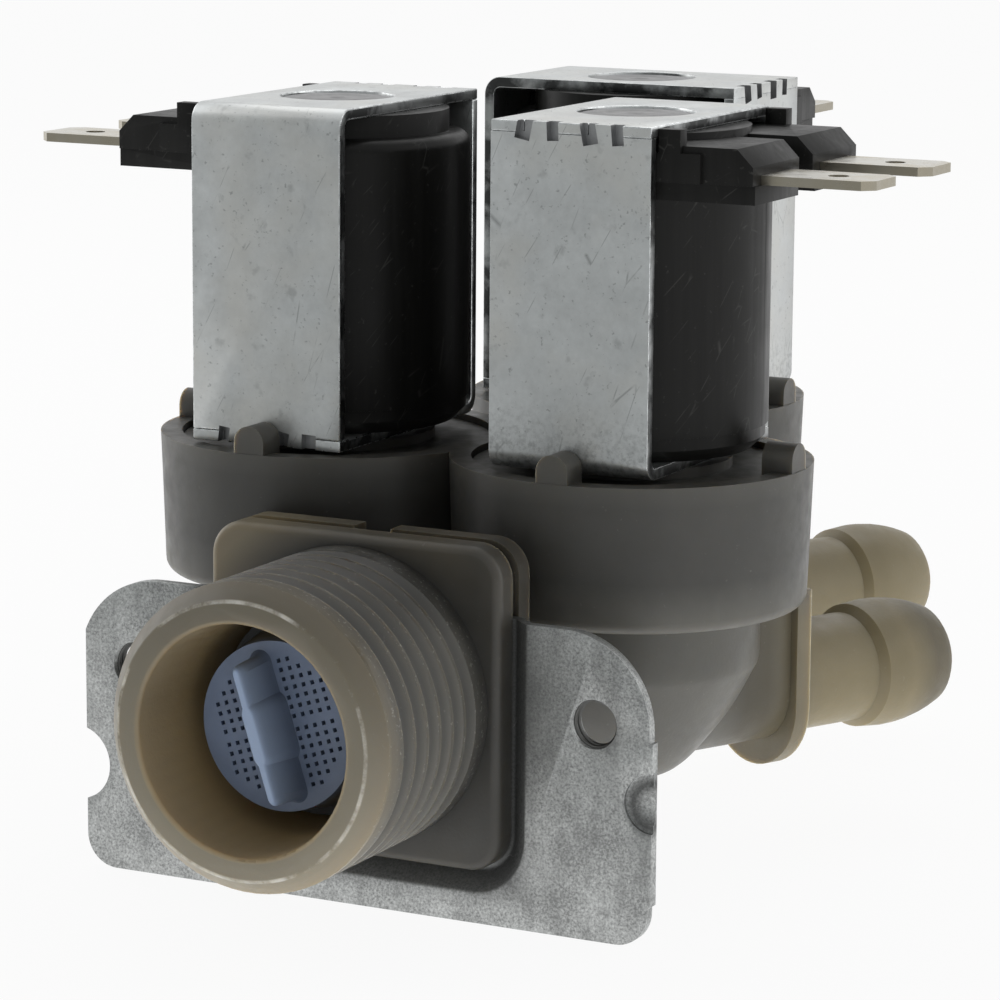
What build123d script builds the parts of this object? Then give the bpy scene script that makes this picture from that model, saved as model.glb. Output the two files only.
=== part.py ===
from build123d import *
from collections import namedtuple
from math import cos, radians, sin
import os

os.makedirs("parts", exist_ok=True)

# Frame: origin on the inlet axis at the front face of the flange, the inlet
# points towards -Y, +X is to the right seen from the inlet, +Z is up.

# Inlet spigot
thread_radius = 13.2
inlet_length = 19.0
mouth_radius = 11.9
lead_in_length = 1.6
inlet_bore_radius = 9.9
filter_seat_radius = 9.3
filter_seat_y = -4.5
mouth_rounding = 0.4
cut_margin = 2.0

# Flange with the slot that the bracket slides in
flange_side = 28.4
flange_corner_radius = 3.0
flange_front_thickness = 2.5
flange_front_rounding = 0.8
flange_rear_thickness = 2.0
flange_groove_depth = 0.5
neck_radius = 10.8
neck_length = 18.0
flange_notch_width = 3.5
flange_notch_depth = 1.6

# Bracket
bracket_thickness = 1.0
bracket_left_x = -27.8
bracket_right_x = 27.9
bracket_top_z = 7.8
bracket_bottom_z = -19.0
bracket_ear_radius = 8.15
bracket_left_ear_cut = 0.6
bracket_bottom_corner = 3.0
bracket_edge_step = 0.3
bracket_step_top_z = -1.2
bracket_step_bottom_z = -15.3
bracket_pocket_depth = 1.6
bracket_pocket_clearance = 0.4
bracket_pocket_taper = 46.0
bracket_pocket_rounding = 0.5
bracket_hole_spacing = 45.4
bracket_hole_z = -0.1
bracket_hole_radius = 2.15
bracket_collar_wall = 0.75
bracket_collar_length = 1.1
bracket_notch_radius = 3.4
bracket_notch_z = -9.6
bracket_notch_depth = 2.4
bracket_dimple_radius = 2.6
bracket_dimple_z = -6.4
bracket_dimple_depth = 0.4
bracket_slot_clearance = 0.2
bracket_face_clearance = 0.1

# Manifold behind the flange
manifold_radius = 8.6
manifold_bore_radius = 6.5
manifold_end_wall = 1.0
washer_pocket_radius = 8.3
washer_seat_y = -1.4

# Valve stations
station_x = 15.0
front_row_y = 24.2
rear_row_y = 57.4
outlet_angle = 26.5

# Cups
cup_radius = 15.85
cup_bottom_z = 5.6
cup_top_z = 18.6
cup_edge_rounding = 1.2
cup_wall = 1.55
cup_draft = 0.4
lug_width = 3.0
lug_top_z = 21.1
lug_clearance = 0.15
lug_root = 0.5
lug_setback = 0.1

# Chamber, bowl and valve seat below each cup
chamber_inset = 1.7
chamber_floor_z = 7.4
diaphragm_shelf_z = 12.9
seat_z = 12.0
seat_radius = 5.4
seat_bore_radius = 3.9
bowl_radius = 11.75
bowl_wall = 1.6
bowl_bottom_z = -10.6
bowl_floor_z = -5.4
bowl_floor_radius = 6.3
bowl_slope_top_z = 2.0

# Outside of the bowl: share of its radius, and height above its bottom
bowl_curve = [(0.0, 0.0), (0.34, 0.7), (0.62, 3.9), (0.85, 7.8), (0.96, 10.3), (1.0, 13.6)]

# Outlet pipes with hose tails
outlet_z = -4.0
pipe_radius = 5.1
pipe_bore_radius = 3.7
sump_depth = 2.4
outlet_length = 35.5
tail_length = 9.8
tail_radius = 6.0
tail_flank = 0.8
tail_flank_radius = 5.8
tail_ramp = 3.1
tail_dome_radius = 5.65
tail_dome_share = 0.48
tail_end_radius = 4.8
tail_end_rounding = 0.5
duct_half_width = 5.3
collar_distance = 14.6
collar_thickness = 1.6
collar_half_width = 6.2
collar_centre_z = -5.5

# Yoke, a loop of strip in two halves
yoke_width = 15.2
yoke_depth = 26.2
yoke_height = 30.4
yoke_thickness = 1.0
yoke_bend_radius = 0.7
yoke_bottom_z = 18.9
yoke_hole_step = 0.1
stake_width = 3.4
stake_pitch = 6.1
stake_clearance = 0.06

# Coil
coil_radius = 12.1
coil_clearance = 0.15
coil_shoulder_step = 1.9
coil_shoulder_drop = 2.0
coil_rounding = 1.2
coil_collar_height = 2.2
coil_collar_step = 0.25
coil_foot_chamfer = 1.1
bobbin_bore_share = 0.438
bobbin_wall = 0.8
bobbin_flange = 1.2
winding_cover = 0.8
sleeve_length = 8.0
sleeve_wall = 0.8
sleeve_outer_clearance = 0.15
sleeve_tube_clearance = 0.1
sleeve_top_recess = 0.3

# Terminal block and tabs
block_reach = 16.2
block_half_width = 11.4
block_gap = 3.0
block_valley_reach = 11.6
block_top_z = 47.7
block_bottom_z = 44.6
ledge_bottom_z = 43.0
ledge_extra_reach = 0.1
ledge_inset = 0.3
block_chamfer = 1.5
block_valley_drop = 0.6
hook_width = 1.3
hook_depth = 2.0
hook_drop = 0.2
tab_pitch = 12.9
tab_width = 6.3
tab_thickness = 0.8
tab_reach = 26.2
tab_root = 12.2
tab_hole_radius = 0.9
tab_hole_reach = 21.9
tab_tip_chamfer = 1.0

# Guide tube with its bonnet flange
tube_wall = 0.55
tube_top_z = 48.7
tube_end_wall = 1.3
bonnet_clearance = 0.1
bonnet_bottom_z = 14.6
bonnet_top_z = 18.0
bonnet_hub_step = 0.4
bonnet_ring_width = 4.8
bonnet_cavity_taper = 1.2
bonnet_roof_z = 16.5

# Plunger, tip and spring
plunger_clearance = 0.2
plunger_bottom_z = 17.0
plunger_travel = 2.6
plunger_stop_gap = 0.4
plunger_nose = 1.0
spring_pocket_radius = 2.4
spring_pocket_depth = 9.0
spring_wire_radius = 0.24
spring_end_gap = 0.01
spring_mean_radius = 1.8
spring_turns = 6
tip_radius = 1.9
tip_seat_depth = 2.0
tip_stand_out = 0.7

# Diaphragm and its insert
diaphragm_thickness = 1.4
diaphragm_web = 0.8
diaphragm_rim_width = 1.8
diaphragm_clearance = 0.1
diaphragm_seat_margin = 1.0
diaphragm_slope = 1.2
diaphragm_rim_fillet = 0.6
diaphragm_web_rise = 0.15
insert_radius = 5.6
insert_plate = 0.9
insert_stem_radius = 1.5
insert_nozzle_radius = 1.1
insert_nozzle_taper = 0.6
insert_nozzle_top_z = 16.2
insert_stem_bottom_z = 8.6
insert_fin_radius = 3.5
insert_fin_thickness = 0.8
insert_fin_top_z = 11.6
pilot_hole_radius = 0.45
pilot_clearance = 0.1

# Inlet filter and flow washer
filter_face_y = -14.4
filter_face_radius = 6.9
filter_face_thickness = 0.9
filter_wall = 0.8
filter_rim_radius = 9.1
filter_rim_length = 1.6
filter_window_angle = 62.0
filter_window_count = 4
filter_window_inset = 1.8
filter_bar_length = 12.6
filter_bar_width = 2.0
filter_bar_height = 2.4
filter_bar_tilt = 18.0
filter_bar_taper = 6.0
filter_bar_rounding = 0.5
filter_swell_length = 6.2
filter_swell_width = 2.8
washer_clearance = 0.1
washer_hole_radius = 3.1
washer_thickness = 2.9

# Derived places
bonnet_radius = cup_radius - cup_wall - bonnet_clearance
bonnet_cavity_radius = bonnet_radius - bonnet_ring_width
bonnet_hub_radius = bonnet_cavity_radius - bonnet_hub_step
chamber_radius = bonnet_radius - chamber_inset
bracket_front_y = flange_front_thickness + bracket_face_clearance
bracket_back_y = bracket_front_y + bracket_thickness
bracket_ear_y = bracket_front_y - bracket_pocket_depth
flange_rear_y = bracket_back_y + bracket_face_clearance
manifold_end_y = rear_row_y - seat_radius - manifold_end_wall
yoke_top_z = yoke_bottom_z + yoke_height
yoke_inner_bottom_z = yoke_bottom_z + yoke_thickness
yoke_inner_top_z = yoke_top_z - yoke_thickness
coil_bottom_z = yoke_inner_bottom_z
coil_top_z = yoke_inner_top_z
tube_end_z = tube_top_z - tube_end_wall
plunger_top_z = tube_end_z - plunger_travel - plunger_stop_gap
bobbin_bore_radius = coil_radius * bobbin_bore_share
yoke_hole_radius = bobbin_bore_radius - yoke_hole_step
sleeve_radius = bobbin_bore_radius - sleeve_outer_clearance
tube_radius = sleeve_radius - sleeve_wall - sleeve_tube_clearance
tube_bore_radius = tube_radius - tube_wall
bobbin_radius = bobbin_bore_radius + bobbin_wall
coil_shoulder_radius = coil_radius - coil_shoulder_step
winding_radius = coil_shoulder_radius - winding_cover
bowl_points = [(bowl_radius * share, bowl_bottom_z + height) for share, height in bowl_curve]

Station = namedtuple("Station", "name plane outlet")


def make_station(name, x, y, turn, outlet):
    """Frame of one valve: tabs towards local +X, and the heading of its outlet in degrees from +Y."""
    across = (cos(radians(turn)), sin(radians(turn)), 0)
    return Station(name, Plane(origin=(x, y, 0), x_dir=across, z_dir=(0, 0, 1)), outlet)


stations = [
    make_station("left", -station_x, front_row_y, 180, -outlet_angle),
    make_station("right", station_x, front_row_y, 0, outlet_angle),
    make_station("rear", 0, rear_row_y, 90, outlet_angle),
]


def upright(station):
    """Vertical sketch plane through the axis of a valve: local x is the radius, local y is the height."""
    plane = station.plane
    return Plane(origin=plane.origin, x_dir=plane.x_dir, z_dir=-plane.y_dir)


def valve_axis(station):
    return Axis(station.plane.origin, (0, 0, 1))


def outlet_direction(station):
    return Vector(sin(radians(station.outlet)), cos(radians(station.outlet)), 0)


def outlet_plane(station, distance=0.0):
    """Plane square to an outlet, at a distance from the valve's axis; its normal points out of the outlet."""
    heading = outlet_direction(station)
    origin = station.plane.origin + Vector(0, 0, outlet_z) + heading * distance
    sideways = Vector(cos(radians(station.outlet)), -sin(radians(station.outlet)), 0)
    return Plane(origin=origin, x_dir=-sideways, z_dir=heading)


def outlet_side_plane(station):
    """Horizontal plane through an outlet's axis: local x runs out along the outlet, local y is the radius."""
    heading = outlet_direction(station)
    return Plane(origin=station.plane.origin + Vector(0, 0, outlet_z), x_dir=heading, z_dir=(0, 0, 1))


def outlet_axis(station):
    return Axis(station.plane.origin + Vector(0, 0, outlet_z), outlet_direction(station))


# Valve body, one nylon moulding
with BuildPart() as valve_body:
    # Threaded spigot with a tapered lead-in
    with BuildSketch(Plane.XY):
        with BuildLine():
            Polyline(
                (0, -inlet_length),
                (mouth_radius, -inlet_length),
                (thread_radius, -inlet_length + lead_in_length),
                (thread_radius, 0),
                (0, 0),
                close=True,
            )
        make_face()
    revolve(axis=Axis.Y)
    # Front plate of the flange
    with BuildSketch(Plane.XZ):
        RectangleRounded(flange_side, flange_side, flange_corner_radius)
    extrude(amount=-flange_front_thickness)
    front_face = valve_body.faces().filter_by(Axis.Y).sort_by(Axis.Y)[1]
    front_rim = front_face.outer_wire().edges()
    fillet(front_rim, flange_front_rounding)
    # Neck that passes through the bracket, and the manifold behind it
    with BuildSketch(Plane.XZ):
        Circle(neck_radius)
    extrude(amount=-neck_length)
    with BuildSketch(Plane.XZ):
        Circle(manifold_radius)
    extrude(amount=-(rear_row_y - bowl_radius / 2))
    # Web between the plates above the bracket, with a shallow groove all round
    web_bottom_z = bracket_top_z + bracket_slot_clearance
    groove_side = flange_side - 2 * flange_groove_depth
    with BuildSketch(Plane.XZ.offset(-flange_front_thickness)):
        RectangleRounded(groove_side, groove_side, flange_corner_radius)
        with Locations((0, web_bottom_z - flange_side / 2)):
            Rectangle(flange_side, flange_side, mode=Mode.SUBTRACT)
    extrude(amount=flange_front_thickness - flange_rear_y)
    # Rear plate of the flange with a notch at the top
    with BuildSketch(Plane.XZ.offset(-flange_rear_y)):
        RectangleRounded(flange_side, flange_side, flange_corner_radius)
        with Locations((0, flange_side / 2)):
            Rectangle(flange_notch_width, 2 * flange_notch_depth, mode=Mode.SUBTRACT)
    extrude(amount=-flange_rear_thickness)
    # Bowls, cups and outlet pipes
    for station in stations:
        with BuildSketch(upright(station)):
            with BuildLine():
                Spline(*bowl_points, tangents=[(1, 0), (0, 1)])
                Polyline(
                    bowl_points[-1],
                    (bowl_radius, cup_bottom_z + cup_wall),
                    (0, cup_bottom_z + cup_wall),
                    bowl_points[0],
                )
            make_face()
        revolve(axis=valve_axis(station))
        with BuildSketch(upright(station)):
            with BuildLine():
                RadiusArc(
                    (cup_radius - cup_edge_rounding, cup_bottom_z),
                    (cup_radius, cup_bottom_z + cup_edge_rounding),
                    -cup_edge_rounding,
                )
                Polyline(
                    (cup_radius, cup_bottom_z + cup_edge_rounding),
                    (cup_radius + cup_draft, cup_top_z),
                    (0, cup_top_z),
                    (0, cup_bottom_z),
                    (cup_radius - cup_edge_rounding, cup_bottom_z),
                )
            make_face()
        revolve(axis=valve_axis(station))
        tail_start = outlet_length - tail_length
        with BuildSketch(outlet_side_plane(station)):
            with BuildLine():
                crest = (tail_start + tail_ramp, tail_radius)
                dome_end = (outlet_length - tail_end_rounding, tail_end_radius)
                Polyline(
                    dome_end,
                    (outlet_length, tail_end_radius - tail_end_rounding),
                    (outlet_length, 0),
                    (0, 0),
                    (0, pipe_radius),
                    (tail_start, pipe_radius),
                    (tail_start + tail_flank, tail_flank_radius),
                    crest,
                )
                dome_middle = outlet_length - (tail_length - tail_ramp) * tail_dome_share
                ThreePointArc(crest, (dome_middle, tail_dome_radius), dome_end)
            make_face()
        revolve(axis=outlet_axis(station))
        # Duct from the bowl to the collar, and the collar plate, both with straight sides up to the cup
        for start, length, half_width, centre_z in [
            (0, collar_distance, duct_half_width, outlet_z),
            (collar_distance, collar_thickness, collar_half_width, collar_centre_z),
        ]:
            foot = centre_z - outlet_z
            head = cup_bottom_z - outlet_z
            with BuildSketch(outlet_plane(station, start)):
                with Locations((0, foot)):
                    Circle(half_width)
                with Locations((0, (head + foot) / 2)):
                    Rectangle(2 * half_width, head - foot)
            extrude(amount=length)
    # Inlet bore, stepped for the filter and the flow washer, and on to the rear valve
    with BuildSketch(Plane.XY):
        with BuildLine():
            Polyline(
                (0, -inlet_length),
                (inlet_bore_radius, -inlet_length),
                (filter_seat_radius, filter_seat_y),
                (washer_pocket_radius, filter_seat_y),
                (washer_pocket_radius, washer_seat_y),
                (manifold_bore_radius, washer_seat_y),
                (manifold_bore_radius, manifold_end_y),
                (0, manifold_end_y),
                close=True,
            )
        make_face()
    revolve(axis=Axis.Y, mode=Mode.SUBTRACT)
    for station in stations:
        # Chamber under the diaphragm, and the recess that takes the bonnet
        with BuildSketch(upright(station)):
            with BuildLine():
                Polyline(
                    (0, bowl_floor_z),
                    (bowl_floor_radius, bowl_floor_z),
                    (bowl_radius - bowl_wall, bowl_slope_top_z),
                    (bowl_radius - bowl_wall, chamber_floor_z),
                    (chamber_radius - diaphragm_rim_width, chamber_floor_z),
                    (chamber_radius - diaphragm_rim_width, diaphragm_shelf_z),
                    (chamber_radius + diaphragm_clearance, diaphragm_shelf_z),
                    (chamber_radius + diaphragm_clearance, bonnet_bottom_z),
                    (cup_radius - cup_wall, bonnet_bottom_z),
                    (cup_radius - cup_wall, cup_top_z + cut_margin),
                    (0, cup_top_z + cut_margin),
                    close=True,
                )
            make_face()
        revolve(axis=valve_axis(station), mode=Mode.SUBTRACT)
    for station in stations:
        # Seat tube and the pipe that leads out of the chamber
        with BuildSketch(station.plane.offset(outlet_z)):
            Circle(seat_radius)
        extrude(amount=seat_z - outlet_z)
        with BuildSketch(outlet_plane(station)):
            Circle(pipe_radius)
        extrude(amount=bowl_radius)
        with BuildSketch(station.plane.offset(outlet_z - sump_depth)):
            Circle(seat_bore_radius)
        extrude(amount=seat_z - outlet_z + sump_depth, mode=Mode.SUBTRACT)
        with BuildSketch(outlet_plane(station)):
            Circle(pipe_bore_radius)
        extrude(amount=outlet_length, mode=Mode.SUBTRACT)
        # Lugs on the rim, which keep the yoke from turning
        lug_inner = yoke_depth / 2 + lug_clearance
        sides = [(0, -1), (0, 1), (1, 0)]
        if station.name == "rear":
            sides.append((-1, 0))
        for side_x, side_y in sides:
            plane = station.plane
            outward = plane.x_dir * side_x + plane.y_dir * side_y
            lug_plane = Plane(
                origin=plane.origin + outward * lug_inner, x_dir=(-outward.Y, outward.X, 0), z_dir=outward
            )
            lug_foot = cup_top_z - lug_root
            with BuildSketch(lug_plane) as lug_face:
                with Locations((0, (lug_foot + lug_top_z - lug_width / 2) / 2)):
                    Rectangle(lug_width, lug_top_z - lug_width / 2 - lug_foot)
                with Locations((0, lug_top_z - lug_width / 2)):
                    Circle(lug_width / 2)
            extrude(amount=cup_radius + cup_draft - lug_inner - lug_setback)
    mouth_edges = valve_body.edges().filter_by(GeomType.CIRCLE).group_by(Axis.Y)[0]
    fillet(mouth_edges, mouth_rounding)

valve_body.part.label = "valve_body"
export_step(valve_body.part, "parts/valve_body.step")


# Mounting bracket, zinc-coated steel sheet
bracket_middle_x = (bracket_left_x + bracket_right_x) / 2
bracket_ear_z = bracket_top_z - bracket_ear_radius
left_ear_x = bracket_left_x + bracket_ear_radius - bracket_left_ear_cut
right_ear_x = bracket_right_x - bracket_ear_radius
bracket_hole_places = [(-bracket_hole_spacing / 2, bracket_hole_z), (bracket_hole_spacing / 2, bracket_hole_z)]


def make_pressed_sheet():
    """Sheet with a pocket round the flange, pressed back with sloped walls and open at the top."""
    floor_side = flange_side + 2 * bracket_pocket_clearance
    floor_corner = flange_corner_radius + bracket_pocket_clearance
    floor_height = floor_side / 2 + bracket_top_z + 2 * floor_corner
    with BuildPart() as sheet:
        with BuildSketch(Plane.XZ.offset(-bracket_ear_y)):
            Rectangle(4 * bracket_right_x, 4 * bracket_right_x)
        extrude(amount=-bracket_thickness)
        for floor_y, mode in [(bracket_back_y, Mode.ADD), (bracket_front_y, Mode.SUBTRACT)]:
            with BuildSketch(Plane.XZ.offset(-floor_y)):
                with Locations((0, (floor_height - floor_side) / 2)):
                    RectangleRounded(floor_side, floor_height, floor_corner)
            extrude(amount=bracket_pocket_depth, taper=-bracket_pocket_taper, mode=mode)
        bends = [
            edge
            for edge in sheet.edges()
            if abs(edge.center().X) < bracket_right_x
            and abs(edge.center().Z) < 2 * bracket_right_x - cut_margin
            and abs((edge @ 0).Y - (edge @ 1).Y) < bracket_slot_clearance
        ]
        fillet(bends, bracket_pocket_rounding)
    return sheet.part


with BuildPart() as mounting_bracket:
    # Outline of the blank, seen from the front
    with BuildSketch(Plane.XZ):
        with Locations((bracket_middle_x, (bracket_ear_z + bracket_bottom_z) / 2)):
            plate = Rectangle(bracket_right_x - bracket_left_x, bracket_ear_z - bracket_bottom_z)
        fillet(plate.vertices().group_by(Axis.Y)[0], bracket_bottom_corner)
        with Locations(((left_ear_x + right_ear_x) / 2, (bracket_ear_z + bracket_top_z) / 2)):
            Rectangle(right_ear_x - left_ear_x, bracket_ear_radius)
        with Locations((left_ear_x, bracket_ear_z), (right_ear_x, bracket_ear_z)):
            Circle(bracket_ear_radius)
        with Locations((bracket_left_x - bracket_ear_radius, bracket_ear_z)):
            Rectangle(2 * bracket_ear_radius, 2 * bracket_ear_radius, mode=Mode.SUBTRACT)
        # Low step in the right edge
        with Locations((bracket_right_x, (bracket_step_top_z + bracket_step_bottom_z) / 2)):
            Rectangle(2 * bracket_edge_step, bracket_step_top_z - bracket_step_bottom_z)
        # Slot that straddles the neck of the flange
        Circle(neck_radius + bracket_slot_clearance, mode=Mode.SUBTRACT)
        with Locations((0, bracket_top_z)):
            Rectangle(2 * (neck_radius + bracket_slot_clearance), 2 * bracket_top_z, mode=Mode.SUBTRACT)
        # Half-round notch in the left edge
        with Locations((bracket_left_x + bracket_notch_depth - bracket_notch_radius, bracket_notch_z)):
            Circle(bracket_notch_radius, mode=Mode.SUBTRACT)
    extrude(amount=-bracket_back_y)
    add(make_pressed_sheet(), mode=Mode.INTERSECT)
    # Screw holes with drawn collars
    with BuildSketch(Plane.XZ.offset(-bracket_ear_y)):
        with Locations(*bracket_hole_places):
            Circle(bracket_hole_radius + bracket_collar_wall)
    extrude(amount=-bracket_thickness - bracket_collar_length)
    with BuildSketch(Plane.XZ.offset(-bracket_ear_y)):
        with Locations(*bracket_hole_places):
            Circle(bracket_hole_radius)
    extrude(amount=-bracket_thickness - bracket_collar_length, mode=Mode.SUBTRACT)
    # Half-round dimple pressed into the right edge
    with BuildSketch(Plane.XZ.offset(-bracket_ear_y)):
        with Locations((bracket_right_x + bracket_edge_step, bracket_dimple_z)):
            Circle(bracket_dimple_radius)
    extrude(amount=-bracket_dimple_depth, mode=Mode.SUBTRACT)

mounting_bracket.part.label = "mounting_bracket"
export_step(mounting_bracket.part, "parts/mounting_bracket.step")


# Inlet filter, a blue cage with a grip bar on its face
filter_rim_inner = filter_rim_radius - 2 * filter_wall
with BuildPart() as inlet_filter:
    with BuildSketch(Plane.XY):
        with BuildLine():
            Polyline(
                (0, filter_face_y),
                (filter_face_radius, filter_face_y),
                (filter_rim_radius - filter_wall, filter_seat_y - filter_rim_length),
                (filter_rim_radius, filter_seat_y - filter_rim_length),
                (filter_rim_radius, filter_seat_y),
                (filter_rim_inner, filter_seat_y),
                (filter_rim_inner, filter_seat_y - filter_rim_length),
                (filter_face_radius - filter_wall, filter_face_y + filter_face_thickness),
                (0, filter_face_y + filter_face_thickness),
                close=True,
            )
        make_face()
    revolve(axis=Axis.Y)
    # Windows in the side wall
    window_length = filter_seat_y - filter_rim_length - filter_face_y - 2 * filter_face_thickness
    window_middle = (filter_seat_y - filter_rim_length + filter_face_y) / 2
    with BuildSketch(Plane.XZ.offset(-window_middle + window_length / 2)):
        with PolarLocations(0, filter_window_count, start_angle=filter_bar_tilt + 45):
            with BuildLine():
                half = radians(filter_window_angle / 2)
                reach = (filter_rim_radius + cut_margin) * cos(half)
                spread = (filter_rim_radius + cut_margin) * sin(half)
                Polyline((0, 0), (reach, spread), (reach, -spread), close=True)
            make_face()
        Circle(filter_face_radius - filter_window_inset, mode=Mode.SUBTRACT)
    extrude(amount=-window_length, mode=Mode.SUBTRACT)
    # Grip bar with a swell at its middle
    with BuildSketch(Plane.XZ.offset(-filter_face_y)):
        SlotOverall(filter_bar_length, filter_bar_width, rotation=filter_bar_tilt + 90)
        SlotOverall(filter_swell_length, filter_swell_width, rotation=filter_bar_tilt + 90)
    extrude(amount=filter_bar_height, taper=filter_bar_taper)
    fillet(inlet_filter.faces().sort_by(Axis.Y)[0].edges(), filter_bar_rounding)

inlet_filter.part.label = "inlet_filter"
export_step(inlet_filter.part, "parts/inlet_filter.step")


# Flow washer, a rubber ring that keeps the flow steady
with BuildPart() as flow_washer:
    with BuildSketch(Plane.XZ.offset(-washer_seat_y)):
        Circle(washer_pocket_radius - washer_clearance)
        Circle(washer_hole_radius, mode=Mode.SUBTRACT)
    extrude(amount=washer_thickness)

flow_washer.part.label = "flow_washer"
export_step(flow_washer.part, "parts/flow_washer.step")


def yoke_frame(station, flipped):
    """Frame at the centre of a yoke; the second half is the first one turned over."""
    plane = station.plane
    centre = plane.origin + Vector(0, 0, (yoke_bottom_z + yoke_top_z) / 2)
    return Plane(origin=centre, x_dir=plane.x_dir, z_dir=(0, 0, -1 if flipped else 1))


def make_yoke_half(frame):
    """Bent strip with one plate and one wall; the other half's stakes sit in the notches of its plate."""
    half_depth = yoke_depth / 2
    half_height = yoke_height / 2
    side = Plane(origin=frame.origin - frame.x_dir * (yoke_width / 2), x_dir=frame.y_dir, z_dir=frame.x_dir)
    with BuildPart() as strip:
        with BuildSketch(side) as outline:
            with BuildLine():
                Polyline(
                    (-half_depth, half_height - yoke_thickness),
                    (half_depth - yoke_thickness, half_height - yoke_thickness),
                    (half_depth - yoke_thickness, -half_height + yoke_thickness),
                    (half_depth, -half_height + yoke_thickness),
                    (half_depth, half_height),
                    (-half_depth, half_height),
                    close=True,
                )
            make_face()
            inner_corner = sorted(outline.vertices(), key=lambda corner: corner.X + corner.Y)[-2]
            fillet(inner_corner, yoke_bend_radius)
            outer_corner = sorted(outline.vertices(), key=lambda corner: corner.X + corner.Y)[-1]
            fillet(outer_corner, yoke_bend_radius + yoke_thickness)
        extrude(amount=yoke_width)
        # Hole for the sleeve and tube
        with BuildSketch(frame.offset(half_height - yoke_thickness)):
            Circle(yoke_hole_radius)
        extrude(amount=yoke_thickness, mode=Mode.SUBTRACT)
        # Notches in the free end of the plate
        with BuildSketch(frame.offset(half_height - yoke_thickness)):
            with Locations(
                (-stake_pitch / 2, -half_depth + yoke_thickness / 2),
                (stake_pitch / 2, -half_depth + yoke_thickness / 2),
            ):
                Rectangle(stake_width + 2 * stake_clearance, yoke_thickness)
        extrude(amount=yoke_thickness, mode=Mode.SUBTRACT)
        # Stakes on the free end of the wall
        with BuildSketch(frame.offset(-half_height)):
            with Locations(
                (-stake_pitch / 2, half_depth - yoke_thickness / 2),
                (stake_pitch / 2, half_depth - yoke_thickness / 2),
            ):
                Rectangle(stake_width, yoke_thickness)
        extrude(amount=yoke_thickness)
    return strip.part


def make_coil_case(station):
    """Black moulding round the winding, with the terminal block on its side."""
    plane = station.plane
    flat = yoke_depth / 2 - yoke_thickness - coil_clearance
    block_z = coil_top_z - coil_shoulder_drop
    finger_width = block_half_width - block_gap / 2
    finger_middle = (block_half_width + block_gap / 2) / 2
    slot_length = block_reach - tab_root + cut_margin
    with BuildPart() as case:
        with BuildSketch(upright(station)):
            with BuildLine():
                Polyline(
                    (coil_shoulder_radius, coil_top_z),
                    (0, coil_top_z),
                    (0, coil_bottom_z),
                    (coil_radius - coil_collar_step - coil_foot_chamfer, coil_bottom_z),
                    (coil_radius - coil_collar_step, coil_bottom_z + coil_foot_chamfer),
                    (coil_radius - coil_collar_step, coil_bottom_z + coil_collar_height),
                    (coil_radius, coil_bottom_z + coil_collar_height),
                    (coil_radius, block_z - coil_rounding),
                )
                RadiusArc(
                    (coil_radius, block_z - coil_rounding),
                    (coil_radius - coil_rounding, block_z),
                    -coil_rounding,
                )
                Polyline(
                    (coil_radius - coil_rounding, block_z),
                    (coil_shoulder_radius, block_z),
                    (coil_shoulder_radius, coil_top_z),
                )
            make_face()
        revolve(axis=valve_axis(station))
        # Flats where the drum lies against the walls of the yoke
        with BuildSketch(plane.offset(coil_bottom_z)):
            Rectangle(4 * coil_radius, 4 * coil_radius)
            Rectangle(4 * coil_radius, 2 * flat, mode=Mode.SUBTRACT)
        extrude(amount=coil_top_z - coil_bottom_z, mode=Mode.SUBTRACT)
        # Terminal block: root, two fingers, and the ledge under them
        with BuildSketch(plane.offset(block_bottom_z)):
            with Locations((block_valley_reach / 2, 0)):
                Rectangle(block_valley_reach, 2 * flat)
        extrude(amount=block_top_z - block_valley_drop - block_bottom_z)
        with BuildSketch(plane.offset(ledge_bottom_z)):
            with Locations(
                ((block_reach + ledge_extra_reach) / 2, finger_middle),
                ((block_reach + ledge_extra_reach) / 2, -finger_middle),
            ):
                Rectangle(block_reach + ledge_extra_reach, finger_width - 2 * ledge_inset)
        extrude(amount=block_bottom_z - ledge_bottom_z)
        for side in (-1, 1):
            with BuildPart(mode=Mode.PRIVATE) as finger:
                with BuildSketch(plane.offset(block_bottom_z)):
                    with Locations((block_reach / 2, side * finger_middle)):
                        Rectangle(block_reach, finger_width)
                extrude(amount=block_top_z - block_bottom_z)
                end = finger.faces().sort_by(Axis(plane.origin, plane.x_dir))[-1]
                chamfer(end.edges().sort_by(Axis.Z)[-1], block_chamfer)
            add(finger.part)
        # Small hooks that stand beside the top plate of the yoke
        hook_x = yoke_width / 2 + coil_clearance + hook_depth / 2
        with BuildSketch(plane.offset(block_bottom_z)):
            with Locations((hook_x, -flat + hook_width / 2), (hook_x, flat - hook_width / 2)):
                Rectangle(hook_depth, hook_width)
        extrude(amount=yoke_top_z - hook_drop - block_bottom_z)
        # Room for the bobbin and winding, the bore, and the tabs
        with BuildSketch(plane.offset(coil_bottom_z + bobbin_flange)):
            Circle(winding_radius)
        extrude(amount=coil_top_z - coil_bottom_z - 2 * bobbin_flange, mode=Mode.SUBTRACT)
        with BuildSketch(plane.offset(coil_bottom_z)):
            Circle(bobbin_radius)
        extrude(amount=coil_top_z - coil_bottom_z, mode=Mode.SUBTRACT)
        with BuildSketch(plane.offset(block_bottom_z)):
            with Locations(
                (tab_root + slot_length / 2, tab_pitch / 2),
                (tab_root + slot_length / 2, -tab_pitch / 2),
            ):
                Rectangle(slot_length, tab_width)
        extrude(amount=tab_thickness, mode=Mode.SUBTRACT)
    return case.part


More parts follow.
